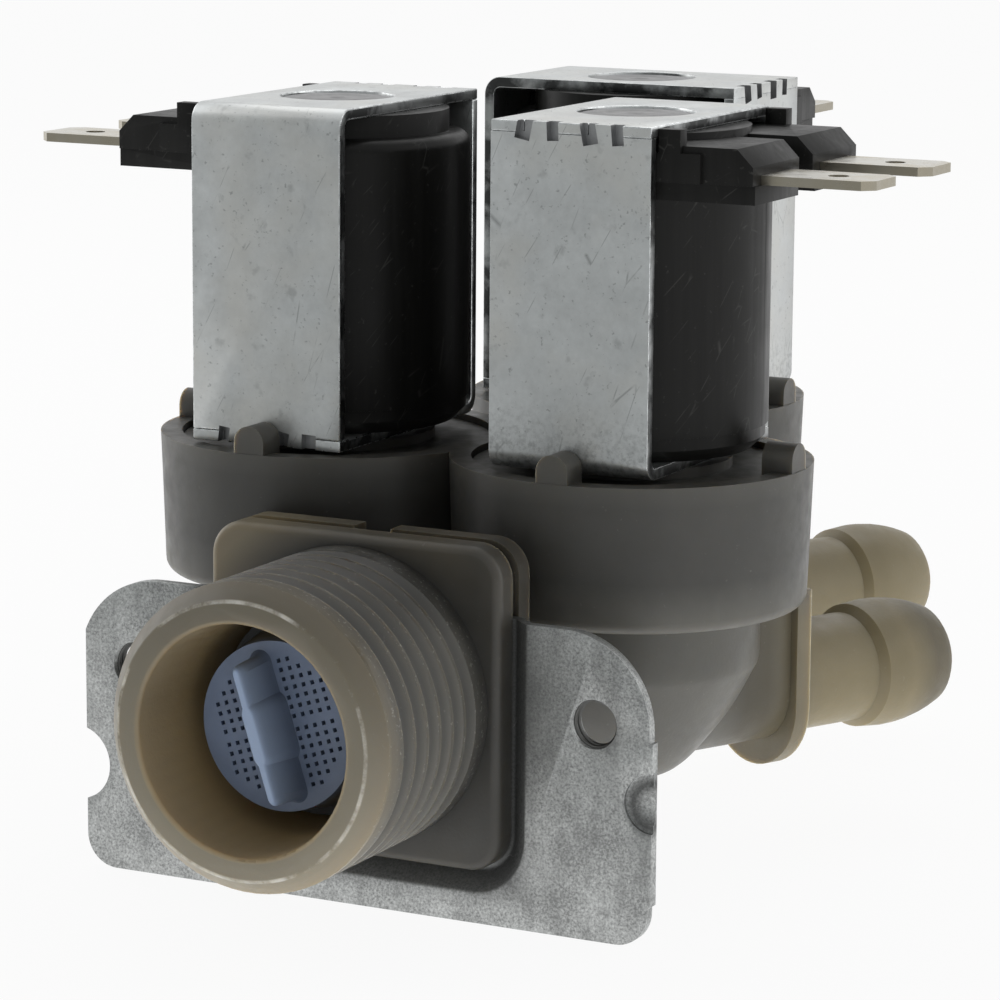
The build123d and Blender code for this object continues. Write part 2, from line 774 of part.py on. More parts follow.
def make_bobbin(station):
    """Spool inside the coil; its tube ends show at both ends of the bore."""
    plane = station.plane
    with BuildPart() as bobbin:
        with BuildSketch(plane.offset(coil_bottom_z)):
            Circle(bobbin_radius)
        extrude(amount=coil_top_z - coil_bottom_z)
        for z in (coil_bottom_z + bobbin_flange, coil_top_z - 2 * bobbin_flange):
            with BuildSketch(plane.offset(z)):
                Circle(winding_radius)
            extrude(amount=bobbin_flange)
        with BuildSketch(plane.offset(coil_bottom_z)):
            Circle(bobbin_bore_radius)
        extrude(amount=coil_top_z - coil_bottom_z, mode=Mode.SUBTRACT)
    return bobbin.part


def make_winding(station):
    """Copper wire wound on the bobbin, as one solid."""
    with BuildPart() as winding:
        with BuildSketch(station.plane.offset(coil_bottom_z + 2 * bobbin_flange)):
            Circle(winding_radius)
            Circle(bobbin_radius, mode=Mode.SUBTRACT)
        extrude(amount=coil_top_z - coil_bottom_z - 4 * bobbin_flange)
    return winding.part


def make_tab(station, side):
    """Flat blade terminal with chamfered tip and a latch hole."""
    with BuildPart() as tab:
        with BuildSketch(station.plane.offset(block_bottom_z)):
            with Locations(((tab_root + tab_reach) / 2, side * tab_pitch / 2)):
                blade = Rectangle(tab_reach - tab_root, tab_width)
            tip = blade.vertices().group_by(Axis(station.plane.origin, (1, 0, 0)))[-1]
            chamfer(tip, tab_tip_chamfer)
            with Locations((tab_hole_reach, side * tab_pitch / 2)):
                Circle(tab_hole_radius, mode=Mode.SUBTRACT)
        extrude(amount=tab_thickness)
    return tab.part


def make_sleeve(station, bottom_z):
    """Steel tube that carries the flux from the yoke towards the plunger."""
    with BuildPart() as sleeve:
        with BuildSketch(station.plane.offset(bottom_z)):
            Circle(sleeve_radius)
            Circle(tube_radius + sleeve_tube_clearance, mode=Mode.SUBTRACT)
        extrude(amount=sleeve_length)
    return sleeve.part


def make_guide_tube(station):
    """Closed tube round the plunger, on a bonnet flange that clamps the diaphragm."""
    with BuildPart() as tube:
        with BuildSketch(upright(station)):
            with BuildLine():
                Polyline(
                    (0, tube_top_z),
                    (tube_radius, tube_top_z),
                    (tube_radius, yoke_bottom_z),
                    (bonnet_hub_radius, yoke_bottom_z),
                    (bonnet_hub_radius, bonnet_top_z),
                    (bonnet_radius, bonnet_top_z),
                    (bonnet_radius, bonnet_bottom_z),
                    (bonnet_cavity_radius, bonnet_bottom_z),
                    (bonnet_cavity_radius - bonnet_cavity_taper, bonnet_roof_z),
                    (tube_bore_radius, bonnet_roof_z),
                    (tube_bore_radius, tube_end_z),
                    (0, tube_end_z),
                    close=True,
                )
            make_face()
        revolve(axis=valve_axis(station))
    return tube.part


def make_plunger(station):
    """Iron plunger with a pocket for the spring and a seat for the rubber tip."""
    radius = tube_bore_radius - plunger_clearance
    with BuildPart() as plunger:
        with BuildSketch(upright(station)):
            with BuildLine():
                Polyline(
                    (tip_radius, plunger_bottom_z),
                    (radius - plunger_nose, plunger_bottom_z),
                    (radius, plunger_bottom_z + plunger_nose),
                    (radius, plunger_top_z),
                    (spring_pocket_radius, plunger_top_z),
                    (spring_pocket_radius, plunger_top_z - spring_pocket_depth),
                    (0, plunger_top_z - spring_pocket_depth),
                    (0, plunger_bottom_z + tip_seat_depth),
                    (tip_radius, plunger_bottom_z + tip_seat_depth),
                    close=True,
                )
            make_face()
        revolve(axis=valve_axis(station))
    return plunger.part


def make_plunger_tip(station):
    """Rubber tip that closes the pilot hole."""
    with BuildPart() as tip:
        with BuildSketch(station.plane.offset(plunger_bottom_z - tip_stand_out)):
            Circle(tip_radius)
        extrude(amount=tip_seat_depth + tip_stand_out)
    return tip.part


def make_spring(station):
    """Wire spring between the end of the tube and the pocket of the plunger."""
    foot_z = plunger_top_z - spring_pocket_depth + spring_wire_radius + spring_end_gap
    length = tube_end_z - spring_wire_radius - spring_end_gap - foot_z
    start = station.plane.origin + Vector(0, 0, foot_z)
    with BuildPart() as spring:
        with BuildLine() as wire:
            Helix(pitch=length / spring_turns, height=length, radius=spring_mean_radius, center=start)
        with BuildSketch(Plane(origin=wire.line @ 0, z_dir=wire.line % 0)):
            RegularPolygon(spring_wire_radius, 6)
        sweep(is_frenet=True)
    return spring.part


def make_diaphragm(station):
    """Rubber membrane: a clamped rim, a thin web and a thick centre on the seat."""
    rim_inner = chamber_radius - diaphragm_rim_width
    centre_radius = seat_radius + diaphragm_seat_margin
    web_z = diaphragm_shelf_z + diaphragm_web_rise
    with BuildPart() as diaphragm:
        with BuildSketch(upright(station)):
            with BuildLine():
                Polyline(
                    (insert_stem_radius + pilot_clearance, seat_z),
                    (centre_radius, seat_z),
                    (centre_radius + diaphragm_slope, seat_z + diaphragm_thickness - diaphragm_web),
                    (rim_inner - diaphragm_rim_fillet, web_z),
                    (rim_inner, diaphragm_shelf_z),
                    (chamber_radius, diaphragm_shelf_z),
                    (chamber_radius, bonnet_bottom_z),
                    (rim_inner, bonnet_bottom_z),
                    (rim_inner - diaphragm_rim_fillet, web_z + diaphragm_web),
                    (centre_radius + diaphragm_slope / 2, seat_z + diaphragm_thickness),
                    (insert_stem_radius + pilot_clearance, seat_z + diaphragm_thickness),
                    close=True,
                )
            make_face()
        revolve(axis=valve_axis(station))
    return diaphragm.part


def make_diaphragm_insert(station):
    """Plastic plate on the membrane, with the pilot nozzle above and guide fins in the seat bore."""
    plate_z = seat_z + diaphragm_thickness
    with BuildPart() as insert:
        with BuildSketch(upright(station)):
            with BuildLine():
                Polyline(
                    (0, insert_stem_bottom_z),
                    (insert_stem_radius, insert_stem_bottom_z),
                    (insert_stem_radius, plate_z),
                    (insert_radius, plate_z),
                    (insert_radius, plate_z + insert_plate),
                    (insert_nozzle_radius + insert_nozzle_taper, plate_z + insert_plate),
                    (insert_nozzle_radius, insert_nozzle_top_z),
                    (0, insert_nozzle_top_z),
                    close=True,
                )
            make_face()
        revolve(axis=valve_axis(station))
        with BuildSketch(station.plane.offset(insert_stem_bottom_z)):
            with PolarLocations(0, 3):
                with Locations((insert_fin_radius / 2, 0)):
                    Rectangle(insert_fin_radius, insert_fin_thickness)
        extrude(amount=insert_fin_top_z - insert_stem_bottom_z)
        with BuildSketch(station.plane.offset(insert_stem_bottom_z)):
            Circle(pilot_hole_radius)
        extrude(amount=insert_nozzle_top_z - insert_stem_bottom_z, mode=Mode.SUBTRACT)
    return insert.part


def keep(part, name):
    """Label a finished piece and write it to its own file."""
    part.label = name
    export_step(part, f"parts/{name}.step")


# Pieces of each valve
for station in stations:
    side = station.name
    keep(make_yoke_half(yoke_frame(station, False)), f"{side}_yoke_upper")
    keep(make_yoke_half(yoke_frame(station, True)), f"{side}_yoke_lower")
    keep(make_coil_case(station), f"{side}_coil_case")
    keep(make_bobbin(station), f"{side}_bobbin")
    keep(make_winding(station), f"{side}_winding")
    keep(make_tab(station, -1), f"{side}_terminal_a")
    keep(make_tab(station, 1), f"{side}_terminal_b")
    keep(make_sleeve(station, yoke_bottom_z), f"{side}_lower_sleeve")
    keep(make_sleeve(station, yoke_top_z - sleeve_top_recess - sleeve_length), f"{side}_upper_sleeve")
    keep(make_guide_tube(station), f"{side}_guide_tube")
    keep(make_plunger(station), f"{side}_plunger")
    keep(make_plunger_tip(station), f"{side}_plunger_tip")
    keep(make_spring(station), f"{side}_plunger_spring")
    keep(make_diaphragm(station), f"{side}_diaphragm")
    keep(make_diaphragm_insert(station), f"{side}_diaphragm_insert")
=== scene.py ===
import math
import random
from itertools import product

import bmesh
import bpy
from bpy.props import FloatProperty, FloatVectorProperty, IntProperty, PointerProperty
from mathutils import Matrix, Vector


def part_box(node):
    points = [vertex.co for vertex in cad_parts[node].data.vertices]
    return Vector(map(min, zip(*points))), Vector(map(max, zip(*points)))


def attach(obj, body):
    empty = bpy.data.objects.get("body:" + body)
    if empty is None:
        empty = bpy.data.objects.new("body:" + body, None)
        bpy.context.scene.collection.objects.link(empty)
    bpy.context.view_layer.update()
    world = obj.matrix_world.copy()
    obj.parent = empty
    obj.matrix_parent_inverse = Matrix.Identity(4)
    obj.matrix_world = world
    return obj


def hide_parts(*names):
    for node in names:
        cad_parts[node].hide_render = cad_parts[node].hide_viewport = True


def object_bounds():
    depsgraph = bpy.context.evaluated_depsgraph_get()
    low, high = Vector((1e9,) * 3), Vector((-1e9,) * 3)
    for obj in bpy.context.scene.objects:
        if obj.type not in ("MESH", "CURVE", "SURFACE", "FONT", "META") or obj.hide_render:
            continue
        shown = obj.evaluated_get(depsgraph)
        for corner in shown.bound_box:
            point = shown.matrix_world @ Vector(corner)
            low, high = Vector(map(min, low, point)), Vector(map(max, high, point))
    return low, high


bl_info = {
    "name": "Washing machine inlet valve",
    "version": (1, 0, 0),
    "blender": (4, 5, 0),
    "location": "View3D > Sidebar > Inlet Valve",
    "description": "Dresses the packed inlet valve with its finishes and fine parts",
    "category": "Object",
}

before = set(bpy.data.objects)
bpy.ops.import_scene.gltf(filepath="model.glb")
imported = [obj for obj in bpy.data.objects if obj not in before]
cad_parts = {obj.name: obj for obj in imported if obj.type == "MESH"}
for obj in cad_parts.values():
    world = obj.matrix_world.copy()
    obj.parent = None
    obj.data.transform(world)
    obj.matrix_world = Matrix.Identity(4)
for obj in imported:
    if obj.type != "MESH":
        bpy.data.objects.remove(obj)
cad_low, cad_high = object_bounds()
HOUSING = "housing"
MM = 0.001

# Edges that turn more than the first angle are rounded; faces that turn less than the second are one face
SHARP_ANGLE = math.radians(32)
FLAT_ANGLE = math.radians(0.3)
WELD_GAP = 0.002 * MM

# Places of the valves: axis, and the turn of the terminals from +X
VALVES = {
    "left": (-15.0 * MM, 24.2 * MM, math.pi),
    "right": (15.0 * MM, 24.2 * MM, 0.0),
    "rear": (0.0, 57.4 * MM, math.pi / 2),
}
SIDES = tuple(VALVES)

# Places of the hose tails: axis of their valve, and their heading from +Y
OUTLET_TURN = math.radians(26.5)
OUTLETS = [
    (*VALVES["left"][:2], -OUTLET_TURN),
    (*VALVES["right"][:2], OUTLET_TURN),
    (*VALVES["rear"][:2], OUTLET_TURN),
]

# Bracket: middle of its pressed dimple, and its two drawn collars
DIMPLE = (28.2 * MM, 1.2 * MM, -6.6 * MM)
DIMPLE_BALL, DIMPLE_LIFT = 3.2 * MM, 2.5 * MM
COLLARS = {"left": -22.7 * MM, "right": 22.7 * MM}
COLLAR_Z = -0.1 * MM
COLLAR_FRONT, COLLAR_BACK = 1.0 * MM, 3.1 * MM

# Body: its mouth, the ends of its thread, the radii of its bore and of its thread, its cups and its flange
MOUTH = -18.9 * MM
THREAD_START, THREAD_END = -16.9 * MM, -1.1 * MM
BORE_RADIUS, ROOT_RADIUS, CREST_RADIUS = 9.6 * MM, 11.9 * MM, 13.12 * MM
CUP_FOOT, CUP_TOP = 8.5 * MM, 18.3 * MM
FLANGE_FRONT, FLANGE_BACK = -2 * MM, 6.5 * MM

# Face on the end of a guide tube, as (radius, height) in millimetres from its centre out
TUBE_END = [
    (0.0, 0.5), (0.6, 0.5), (0.8, 0.42), (2.5, 0.4), (2.8, 0.5), (3.3, 0.5), (3.5, 0.42), (4.9, 0.38), (5.05, 0.31)
]

# Punches on a yoke: middles of its stakes, place and width of the two marks at each stake, how deep a mark goes and
# how far it reaches past the edge, and the least and most height in millimetres and the lean that are drawn for it
STAKES = (-3.05 * MM, 3.05 * MM)
PUNCHES = ((-1.35 * MM, 1.45 * MM), (1.35 * MM, 1.1 * MM))
PUNCH_DEPTH, PUNCH_PAST = 0.85 * MM, 0.3 * MM
PUNCH_LEAST, PUNCH_MOST, PUNCH_LEAN = 1.35, 1.8, 0.22

# Filter as packed: its face and its rim along the inlet, and the radius of its face; how much slimmer its bar gets
FILTER_FACE, FILTER_RIM, FILTER_RADIUS = -14.4 * MM, -6.1 * MM, 6.9 * MM
BAR_SLIMMER = 0.4

# Square holes of the screen: first one and step across and along the bar, how many, their half depth and the plain rim
HOLE_FIRST, HOLE_STEP = (1.75 * MM, 0.56 * MM), (0.87 * MM, 0.80 * MM)
HOLE_COLUMNS, HOLE_ROWS = 6, 7
HOLE_REACH, SCREEN_RIM = 1.4 * MM, 1.2 * MM

# Studio: half the side of the floor and its gap under the valve, headings along Y where the sky is dimmest and
# brightest, the point that the lamps aim at, and the camera's sensor and nearest distance
FLOOR_REACH, FLOOR_GAP = 4.0, 0.02 * MM
SKY_FRONT, SKY_BACK = -0.6, 0.5
LIT_POINT = (0.0, 0.03, 0.015)
SENSOR_WIDTH, CLIP_START = 36.0, 0.01


# Mesh helpers


def add_object(name, mesh):
    """New object at the origin of the frame."""
    piece = bpy.data.objects.new(name, mesh)
    bpy.context.scene.collection.objects.link(piece)
    return piece


def add_mesh(name, verts, faces, smooth=True):
    """Object from corners and faces, with its normals turned outwards."""
    mesh = bpy.data.meshes.new(name)
    mesh.from_pydata(verts, [], faces)
    shell = bmesh.new()
    shell.from_mesh(mesh)
    bmesh.ops.recalc_face_normals(shell, faces=shell.faces)
    shell.to_mesh(mesh)
    shell.free()
    mesh.polygons.foreach_set("use_smooth", [smooth] * len(mesh.polygons))
    return add_object(name, mesh)


def dress(piece, finish, body=HOUSING):
    """Give a new piece its finish and the body that it rides on."""
    piece.data.materials.clear()
    piece.data.materials.append(finish)
    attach(piece, body)


def paint(node, finish):
    """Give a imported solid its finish."""
    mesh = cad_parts[node].data
    mesh.materials.clear()
    mesh.materials.append(finish)


def weld(mesh, reshape=None):
    """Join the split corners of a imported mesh, merge its flat triangles, and move each corner if asked."""
    shell = bmesh.new()
    shell.from_mesh(mesh)
    bmesh.ops.remove_doubles(shell, verts=shell.verts, dist=WELD_GAP)
    bmesh.ops.dissolve_limit(shell, angle_limit=FLAT_ANGLE, verts=shell.verts, edges=shell.edges)
    if reshape:
        for corner in shell.verts:
            corner.co = reshape(corner.co)
    shell.to_mesh(mesh)
    shell.free()
    if "custom_normal" in mesh.attributes:
        mesh.attributes.remove(mesh.attributes["custom_normal"])


def rework(node, name, finishes, cutters=(), edge=0.0, reshape=None):
    """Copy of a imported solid, reshaped, rounded by edge and cut by closed tools; it stands for the solid."""
    piece = add_object(name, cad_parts[node].data.copy())
    weld(piece.data, reshape)
    piece.data.materials.clear()
    for finish in finishes:
        piece.data.materials.append(finish)
    if edge:
        bevel = piece.modifiers.new("Edge radius", "BEVEL")
        bevel.width = edge
        bevel.segments = 2
        bevel.limit_method = "ANGLE"
        bevel.angle_limit = SHARP_ANGLE
        bevel.material = len(finishes) - 1
    for cutter in cutters:
        cut = piece.modifiers.new("Cut", "BOOLEAN")
        cut.operation = "DIFFERENCE"
        cut.object = cutter
        cut.material_mode = "TRANSFER"
    shaped = piece.evaluated_get(bpy.context.evaluated_depsgraph_get())
    mesh = bpy.data.meshes.new_from_object(shaped)
    piece.modifiers.clear()
    piece.data = mesh
    mesh.polygons.foreach_set("use_smooth", [True] * len(mesh.polygons))
    mesh.set_sharp_from_angle(angle=SHARP_ANGLE)
    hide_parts(node)
    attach(piece, HOUSING)


def clear_tools(*tools):
    """Delete closed tools once their cuts are made."""
    for tool in tools:
        bpy.data.objects.remove(tool)


def box_corners(middle, half, turn=None):
    """Eight corners of a box, turned about its middle if asked."""
    offsets = [Vector(signs) * half for signs in product((-1, 1), repeat=3)]
    return [middle + (turn @ offset if turn else offset) for offset in offsets]


BOX_FACES = [(0, 1, 3, 2), (4, 6, 7, 5), (0, 4, 5, 1), (2, 3, 7, 6), (0, 2, 6, 4), (1, 5, 7, 3)]


def boxes(name, groups):
    """One object of many boxes, each given by its eight corners."""
    verts = [corner for group in groups for corner in group]
    faces = [[8 * k + i for i in face] for k in range(len(groups)) for face in BOX_FACES]
    return add_mesh(name, verts, faces, smooth=False)


def disc_of_rings(name, middle, rings, steps=36):
    """Turned face that looks up; rings gives (radius, height) in millimetres from its centre out."""
    verts = [Vector(middle) + Vector((0, 0, rings[0][1] * MM))]
    for radius, height in rings[1:]:
        for k in range(steps):
            angle = 2 * math.pi * k / steps
            corner = Vector((radius * math.cos(angle), radius * math.sin(angle), height))
            verts.append(Vector(middle) + MM * corner)
    faces = [(0, 1 + k, 1 + (k + 1) % steps) for k in range(steps)]
    for ring in range(len(rings) - 2):
        first, second = 1 + ring * steps, 1 + (ring + 1) * steps
        for k in range(steps):
            n = (k + 1) % steps
            faces.append((first + k, second + k, second + n, first + n))
    return add_mesh(name, verts, faces)


def screw_tool(name, profile, start, pitch, turns, steps=72, place=(0.0, 0.0), fade=0.0):
    """Closed bar wound round an axis along Y, shallow over the first and last fade turns.

    The profile gives (radius, offset along Y) of its corners.
    """
    verts, faces, size = [], [], len(profile)
    widest = max(radius for radius, _ in profile)
    for k in range(round(turns * steps) + 1):
        angle = 2 * math.pi * k / steps
        along = start + pitch * k / steps
        full = min(1.0, 0.12 + k / steps / fade, 0.12 + (turns - k / steps) / fade) if fade else 1.0
        for radius, offset in profile:
            reach = widest - (widest - radius) * full
            verts.append((place[0] + reach * math.sin(angle), along + offset, place[1] + reach * math.cos(angle)))
    rings = len(verts) // size
    for k in range(rings - 1):
        for i in range(size):
            j = (i + 1) % size
            faces.append((k * size + i, k * size + j, (k + 1) * size + j, (k + 1) * size + i))
    faces.append(tuple(range(size)))
    faces.append(tuple((rings - 1) * size + i for i in range(size)))
    return add_mesh(name, verts, faces)


# Node helpers


class Nodes:
    """A node tree, with short calls for what the finishes and the stage share."""

    def __init__(self, tree):
        self.tree = tree
        coordinates = tree.nodes.new("ShaderNodeTexCoord")
        self.place, self.facing = coordinates.outputs["Object"], coordinates.outputs["Normal"]
        self.heading = coordinates.outputs["Generated"]

    def feed(self, socket, value):
        """Link a socket to another node's, or set its number or colour."""
        if isinstance(value, bpy.types.NodeSocket):
            self.tree.links.new(value, socket)
        else:
            socket.default_value = value

    def node(self, kind, inputs=None, **settings):
        """New node; inputs are numbers, colours or other nodes' sockets."""
        made = self.tree.nodes.new(kind)
        for key, value in settings.items():
            setattr(made, key, value)
        for key, value in (inputs or {}).items():
            self.feed(made.inputs[key], value)
        return made

    def noise(self, size, detail=3.0, roughness=0.55, place=None):
        """Noise whose blotches are about size metres across."""
        made = self.node(
            "ShaderNodeTexNoise",
            {"Vector": place or self.place, "Scale": 1 / size, "Detail": detail, "Roughness": roughness},
        )
        return made.outputs["Fac"]

    def stretched(self, x, y, z, turn=(0, 0, 0)):
        """Place scaled along each axis, for grain that runs one way."""
        made = self.node("ShaderNodeMapping", {"Vector": self.place, "Rotation": turn, "Scale": (x, y, z)})
        return made.outputs["Vector"]

    def ramp(self, factor, low, high, start=0.0, end=1.0):
        """Straight change from low to high as the factor goes from start to end."""
        made = self.node(
            "ShaderNodeMapRange",
            {"Value": factor, "From Min": start, "From Max": end, "To Min": low, "To Max": high},
        )
        return made.outputs["Result"]

    def blend(self, factor, first, second):
        """Colour between two, by the factor."""
        made = self.node("ShaderNodeMix", data_type="RGBA")
        for key, value in (("Factor", factor), ("A", first), ("B", second)):
            self.feed([item for item in made.inputs if item.name == key and item.enabled][0], value)
        return [item for item in made.outputs if item.enabled][0]

    def maths(self, operation, first, second=0.0):
        """One sum on numbers or sockets."""
        return self.node("ShaderNodeMath", {0: first, 1: second}, operation=operation).outputs[0]

    def times(self, first, *others):
        """Product of numbers or sockets."""
        for other in others:
            first = self.maths("MULTIPLY", first, other)
        return first

    def spots(self, size, low, high, share, detail=3.0, roughness=0.55):
        """Noise that is nothing below low and reaches the share at high."""
        return self.ramp(self.noise(size, detail, roughness), 0, share, low, high)

    def mottled(self, cloud, colour, dark, light):
        """A colour that goes from its dark to its light share with the clouds."""
        return self.blend(self.ramp(cloud, 0, 1, 0.3, 0.7), rgba(colour, dark), rgba(colour, light))

    def axis(self, letter):
        """One coordinate of the place, in metres."""
        return self.node("ShaderNodeSeparateXYZ", {"Vector": self.place}).outputs[letter]

    def reach(self, *letters):
        """Distance from the frame's origin along some axes only, in metres."""
        parts = self.node("ShaderNodeSeparateXYZ", {"Vector": self.place})
        flat = self.node("ShaderNodeCombineXYZ", {letter: parts.outputs[letter] for letter in letters})
        return self.node("ShaderNodeVectorMath", {0: flat.outputs[0]}, operation="LENGTH").outputs["Value"]

    def band(self, value, low, high, soft):
        """One between low and high, and nothing outside, with soft ends."""
        rise = self.ramp(value, 0, 1, low - soft, low + soft)
        fall = self.ramp(value, 1, 0, high - soft, high + soft)
        return self.times(rise, fall)

    def seen(self):
        """One on rays from the camera, a gloss or a clear surface, and nothing on the others."""
        paths = self.node("ShaderNodeLightPath").outputs
        mirrored = self.maths("MAXIMUM", paths["Is Glossy Ray"], paths["Is Transmission Ray"])
        return self.maths("MAXIMUM", paths["Is Camera Ray"], mirrored)

    def scratches(self, size, width, turn, cover):
        """Thin straight marks, ten times as long as the size, that come and go."""
        turned = self.node(
            "ShaderNodeMapping",
            {"Vector": self.place, "Rotation": turn, "Scale": (1.0, 1.0, 10.0)},
            vector_type="TEXTURE",
        )
        cells = self.node(
            "ShaderNodeTexVoronoi",
            {"Vector": turned.outputs["Vector"], "Scale": 1 / size},
            feature="DISTANCE_TO_EDGE",
        )
        lines = self.ramp(cells.outputs["Distance"], 1, 0, 0.0, width)
        return self.times(lines, self.ramp(self.noise(2.4 * MM, detail=2), 0, 1, cover, cover + 0.1))


class Finish(Nodes):
    """The node tree of a material, round its shader."""

    def __init__(self, name):
        self.material = bpy.data.materials.new(name)
        self.material.use_nodes = True
        self.shader = self.material.node_tree.nodes["Principled BSDF"]
        super().__init__(self.material.node_tree)

    def colour(self, value):
        """Colour of the surface."""
        self.tree.links.new(value, self.shader.inputs["Base Color"])

    def roughness(self, value):
        """Roughness of the surface."""
        self.tree.links.new(value, self.shader.inputs["Roughness"])

    def bump(self, heights, depth, strength):
        """Relief of the given depth in metres from one height socket."""
        made = self.node("ShaderNodeBump", {"Height": heights, "Strength": strength, "Distance": depth})
        self.tree.links.new(made.outputs["Normal"], self.shader.inputs["Normal"])

    def surface(self, shader):
        """Show another shader in place of the material's own."""
        self.tree.links.new(shader.outputs[0], self.tree.nodes["Material Output"].inputs["Surface"])

    def fixed(self, **values):
        """Numbers that are the same all over, set on the shader itself."""
        for key, value in values.items():
            self.shader.inputs[key.replace("_", " ")].default_value = value


def rgba(colour, share=1.0):
    """Colour with its alpha, made lighter or darker by a share."""
    return (colour[0] * share, colour[1] * share, colour[2] * share, 1.0)


def nylon_finish(look):
    """Natural nylon, with painted light and shade: darker on the cups, partly for the black rubber behind the wall and
    partly as painted shade, and a painted warm glow on the thin tubes.
    """
    made = Finish("natural nylon")
    cloud = made.noise(7 * MM, detail=4)
    height, depth, radius = made.axis("Z"), made.axis("Y"), made.reach("X", "Z")
    grey = made.mottled(cloud, look.grey, 0.9, 1.12)
    dark = made.mottled(cloud, look.backed_and_shaded, 0.9, 1.15)
    warm = made.mottled(cloud, look.warm, 0.92, 1.06)

    # Cups, darker partly for the black rubber behind their walls and partly as painted shade under the yokes; the lids
    # over them get painted shade too
    cups = made.times(made.band(height, CUP_FOOT, CUP_TOP, 1.6 * MM), 0.85)
    lids = made.times(made.ramp(height, 0, 1, 16.5 * MM, 19 * MM), 0.6)
    base = made.blend(lids, made.blend(cups, grey, dark), rgba(look.grey, 0.45))

    # Ducts and tubes of the outlets, past the bowls: painted warm light on the tubes, for light that shines through
    # their thin walls, and painted shade in the ducts
    tubes, ducts = 0.0, 0.0
    for x, y, heading in OUTLETS:
        way = (math.sin(heading), math.cos(heading), 0.0)
        along = made.node("ShaderNodeVectorMath", {0: made.place, 1: way}, operation="DOT_PRODUCT").outputs["Value"]
        axis = x * way[0] + y * way[1]
        tubes = made.maths("MAXIMUM", made.ramp(along, 0, 1, axis + 9 * MM, axis + 19 * MM), tubes)
        ducts = made.maths("MAXIMUM", made.band(along, axis + 8 * MM, axis + 13.5 * MM, 1.6 * MM), ducts)
    outlets = made.times(made.ramp(height, 1, 0, 2.5 * MM, 6.5 * MM), made.ramp(depth, 0, 1, 20 * MM, 24 * MM))
    base = made.blend(made.times(tubes, outlets), base, warm)
    base = made.blend(made.times(ducts, outlets, 0.7), base, rgba(look.warm, 0.26))

    # Flange, with painted shade over its middle and painted light on its outer corners, strongest on the upper left
    flange = made.band(depth, FLANGE_FRONT, FLANGE_BACK, 1.2 * MM)
    corners = made.times(
        made.ramp(radius, 0, 1, 13.0 * MM, 17.0 * MM),
        made.ramp(height, 0.3, 1, -9 * MM, 3 * MM),
        made.ramp(made.axis("X"), 1, 0.1, -2 * MM, 12 * MM),
    )
    base = made.blend(flange, base, made.blend(corners, dark, rgba(look.corner)))

    # Spigot, paler towards the mouth, with painted shade towards its top and painted light towards its underside, and
    # painted shade in the roots of the thread
    spigot = made.ramp(depth, 1, 0, -13 * MM, -1 * MM)
    shade = made.ramp(height, 0, 1, -9 * MM, 11 * MM)
    walls = made.blend(made.times(shade, 0.5), grey, rgba(look.grey, 0.6))
    mouth = made.blend(shade, rgba(look.mouth, 1.05), rgba(look.mouth, 0.62))
    base = made.blend(spigot, base, made.blend(made.ramp(depth, 1, 0, MOUTH, -15.0 * MM), walls, mouth))
    # Painted shade in the roots of the thread
    roots = made.times(
        made.band(radius, ROOT_RADIUS, 12.95 * MM, 0.16 * MM), made.band(depth, -16.5 * MM, -1.4 * MM, 0.4 * MM), 0.55
    )
    base = made.blend(roots, base, rgba(look.backed_and_shaded, 0.9))

    # Painted light and shade in the bore: a brown that is painted lighter towards its underside, for light coming
    # through the nylon, and a trace of it on the lead-in behind the mouth
    bore = made.times(made.ramp(radius, 1, 0, BORE_RADIUS, 10.3 * MM), made.ramp(depth, 1, 0, -3.5 * MM, -2 * MM))
    lead_in = made.times(
        made.band(radius, 12.2 * MM, 13.4 * MM, 0.3 * MM), made.band(depth, -18.4 * MM, -16 * MM, 0.8 * MM), 0.15
    )
    brown = made.blend(made.ramp(height, 1, 0, -9 * MM, 2 * MM), rgba(look.brown), rgba(look.brown, 2.3))
    base = made.blend(made.maths("MAXIMUM", bore, lead_in), base, brown)

    # Painted highlight on the sharp edge round the mouth, scratches on the crests of the thread, and pale specks
    mouth_edge_highlight = made.times(
        made.band(radius, 11.66 * MM, 11.96 * MM, 0.05 * MM),
        made.ramp(depth, 1, 0, -18.6 * MM, -18.4 * MM),
        made.spots(6 * MM, 0.44, 0.62, 1, detail=6, roughness=0.7),
        0.7,
    )
    crests = made.times(
        made.ramp(radius, 0, 1, CREST_RADIUS, 13.2 * MM),
        made.spots(0.35 * MM, 0.6, 0.68, 0.28, detail=4),
        made.ramp(depth, 1, 0, -0.6 * MM, -0.2 * MM),
    )
    specks = made.spots(0.5 * MM, 0.68, 0.8, 0.1)
    marks = made.maths("MAXIMUM", made.maths("MAXIMUM", mouth_edge_highlight, crests), specks)
    made.colour(made.blend(marks, base, rgba(look.rubbed)))
    made.roughness(made.ramp(made.noise(1.8 * MM), 0.34, 0.5, 0.3, 0.7))
    rough = made.ramp(height, 1.0, 0.3, 3.0 * MM, 6.5 * MM)
    made.bump(made.times(made.noise(0.3 * MM), rough), 0.03 * MM, 0.6)
    made.fixed(Subsurface_Weight=0.45, Subsurface_Radius=look.bleed, Subsurface_Scale=1.0)
    return made.material


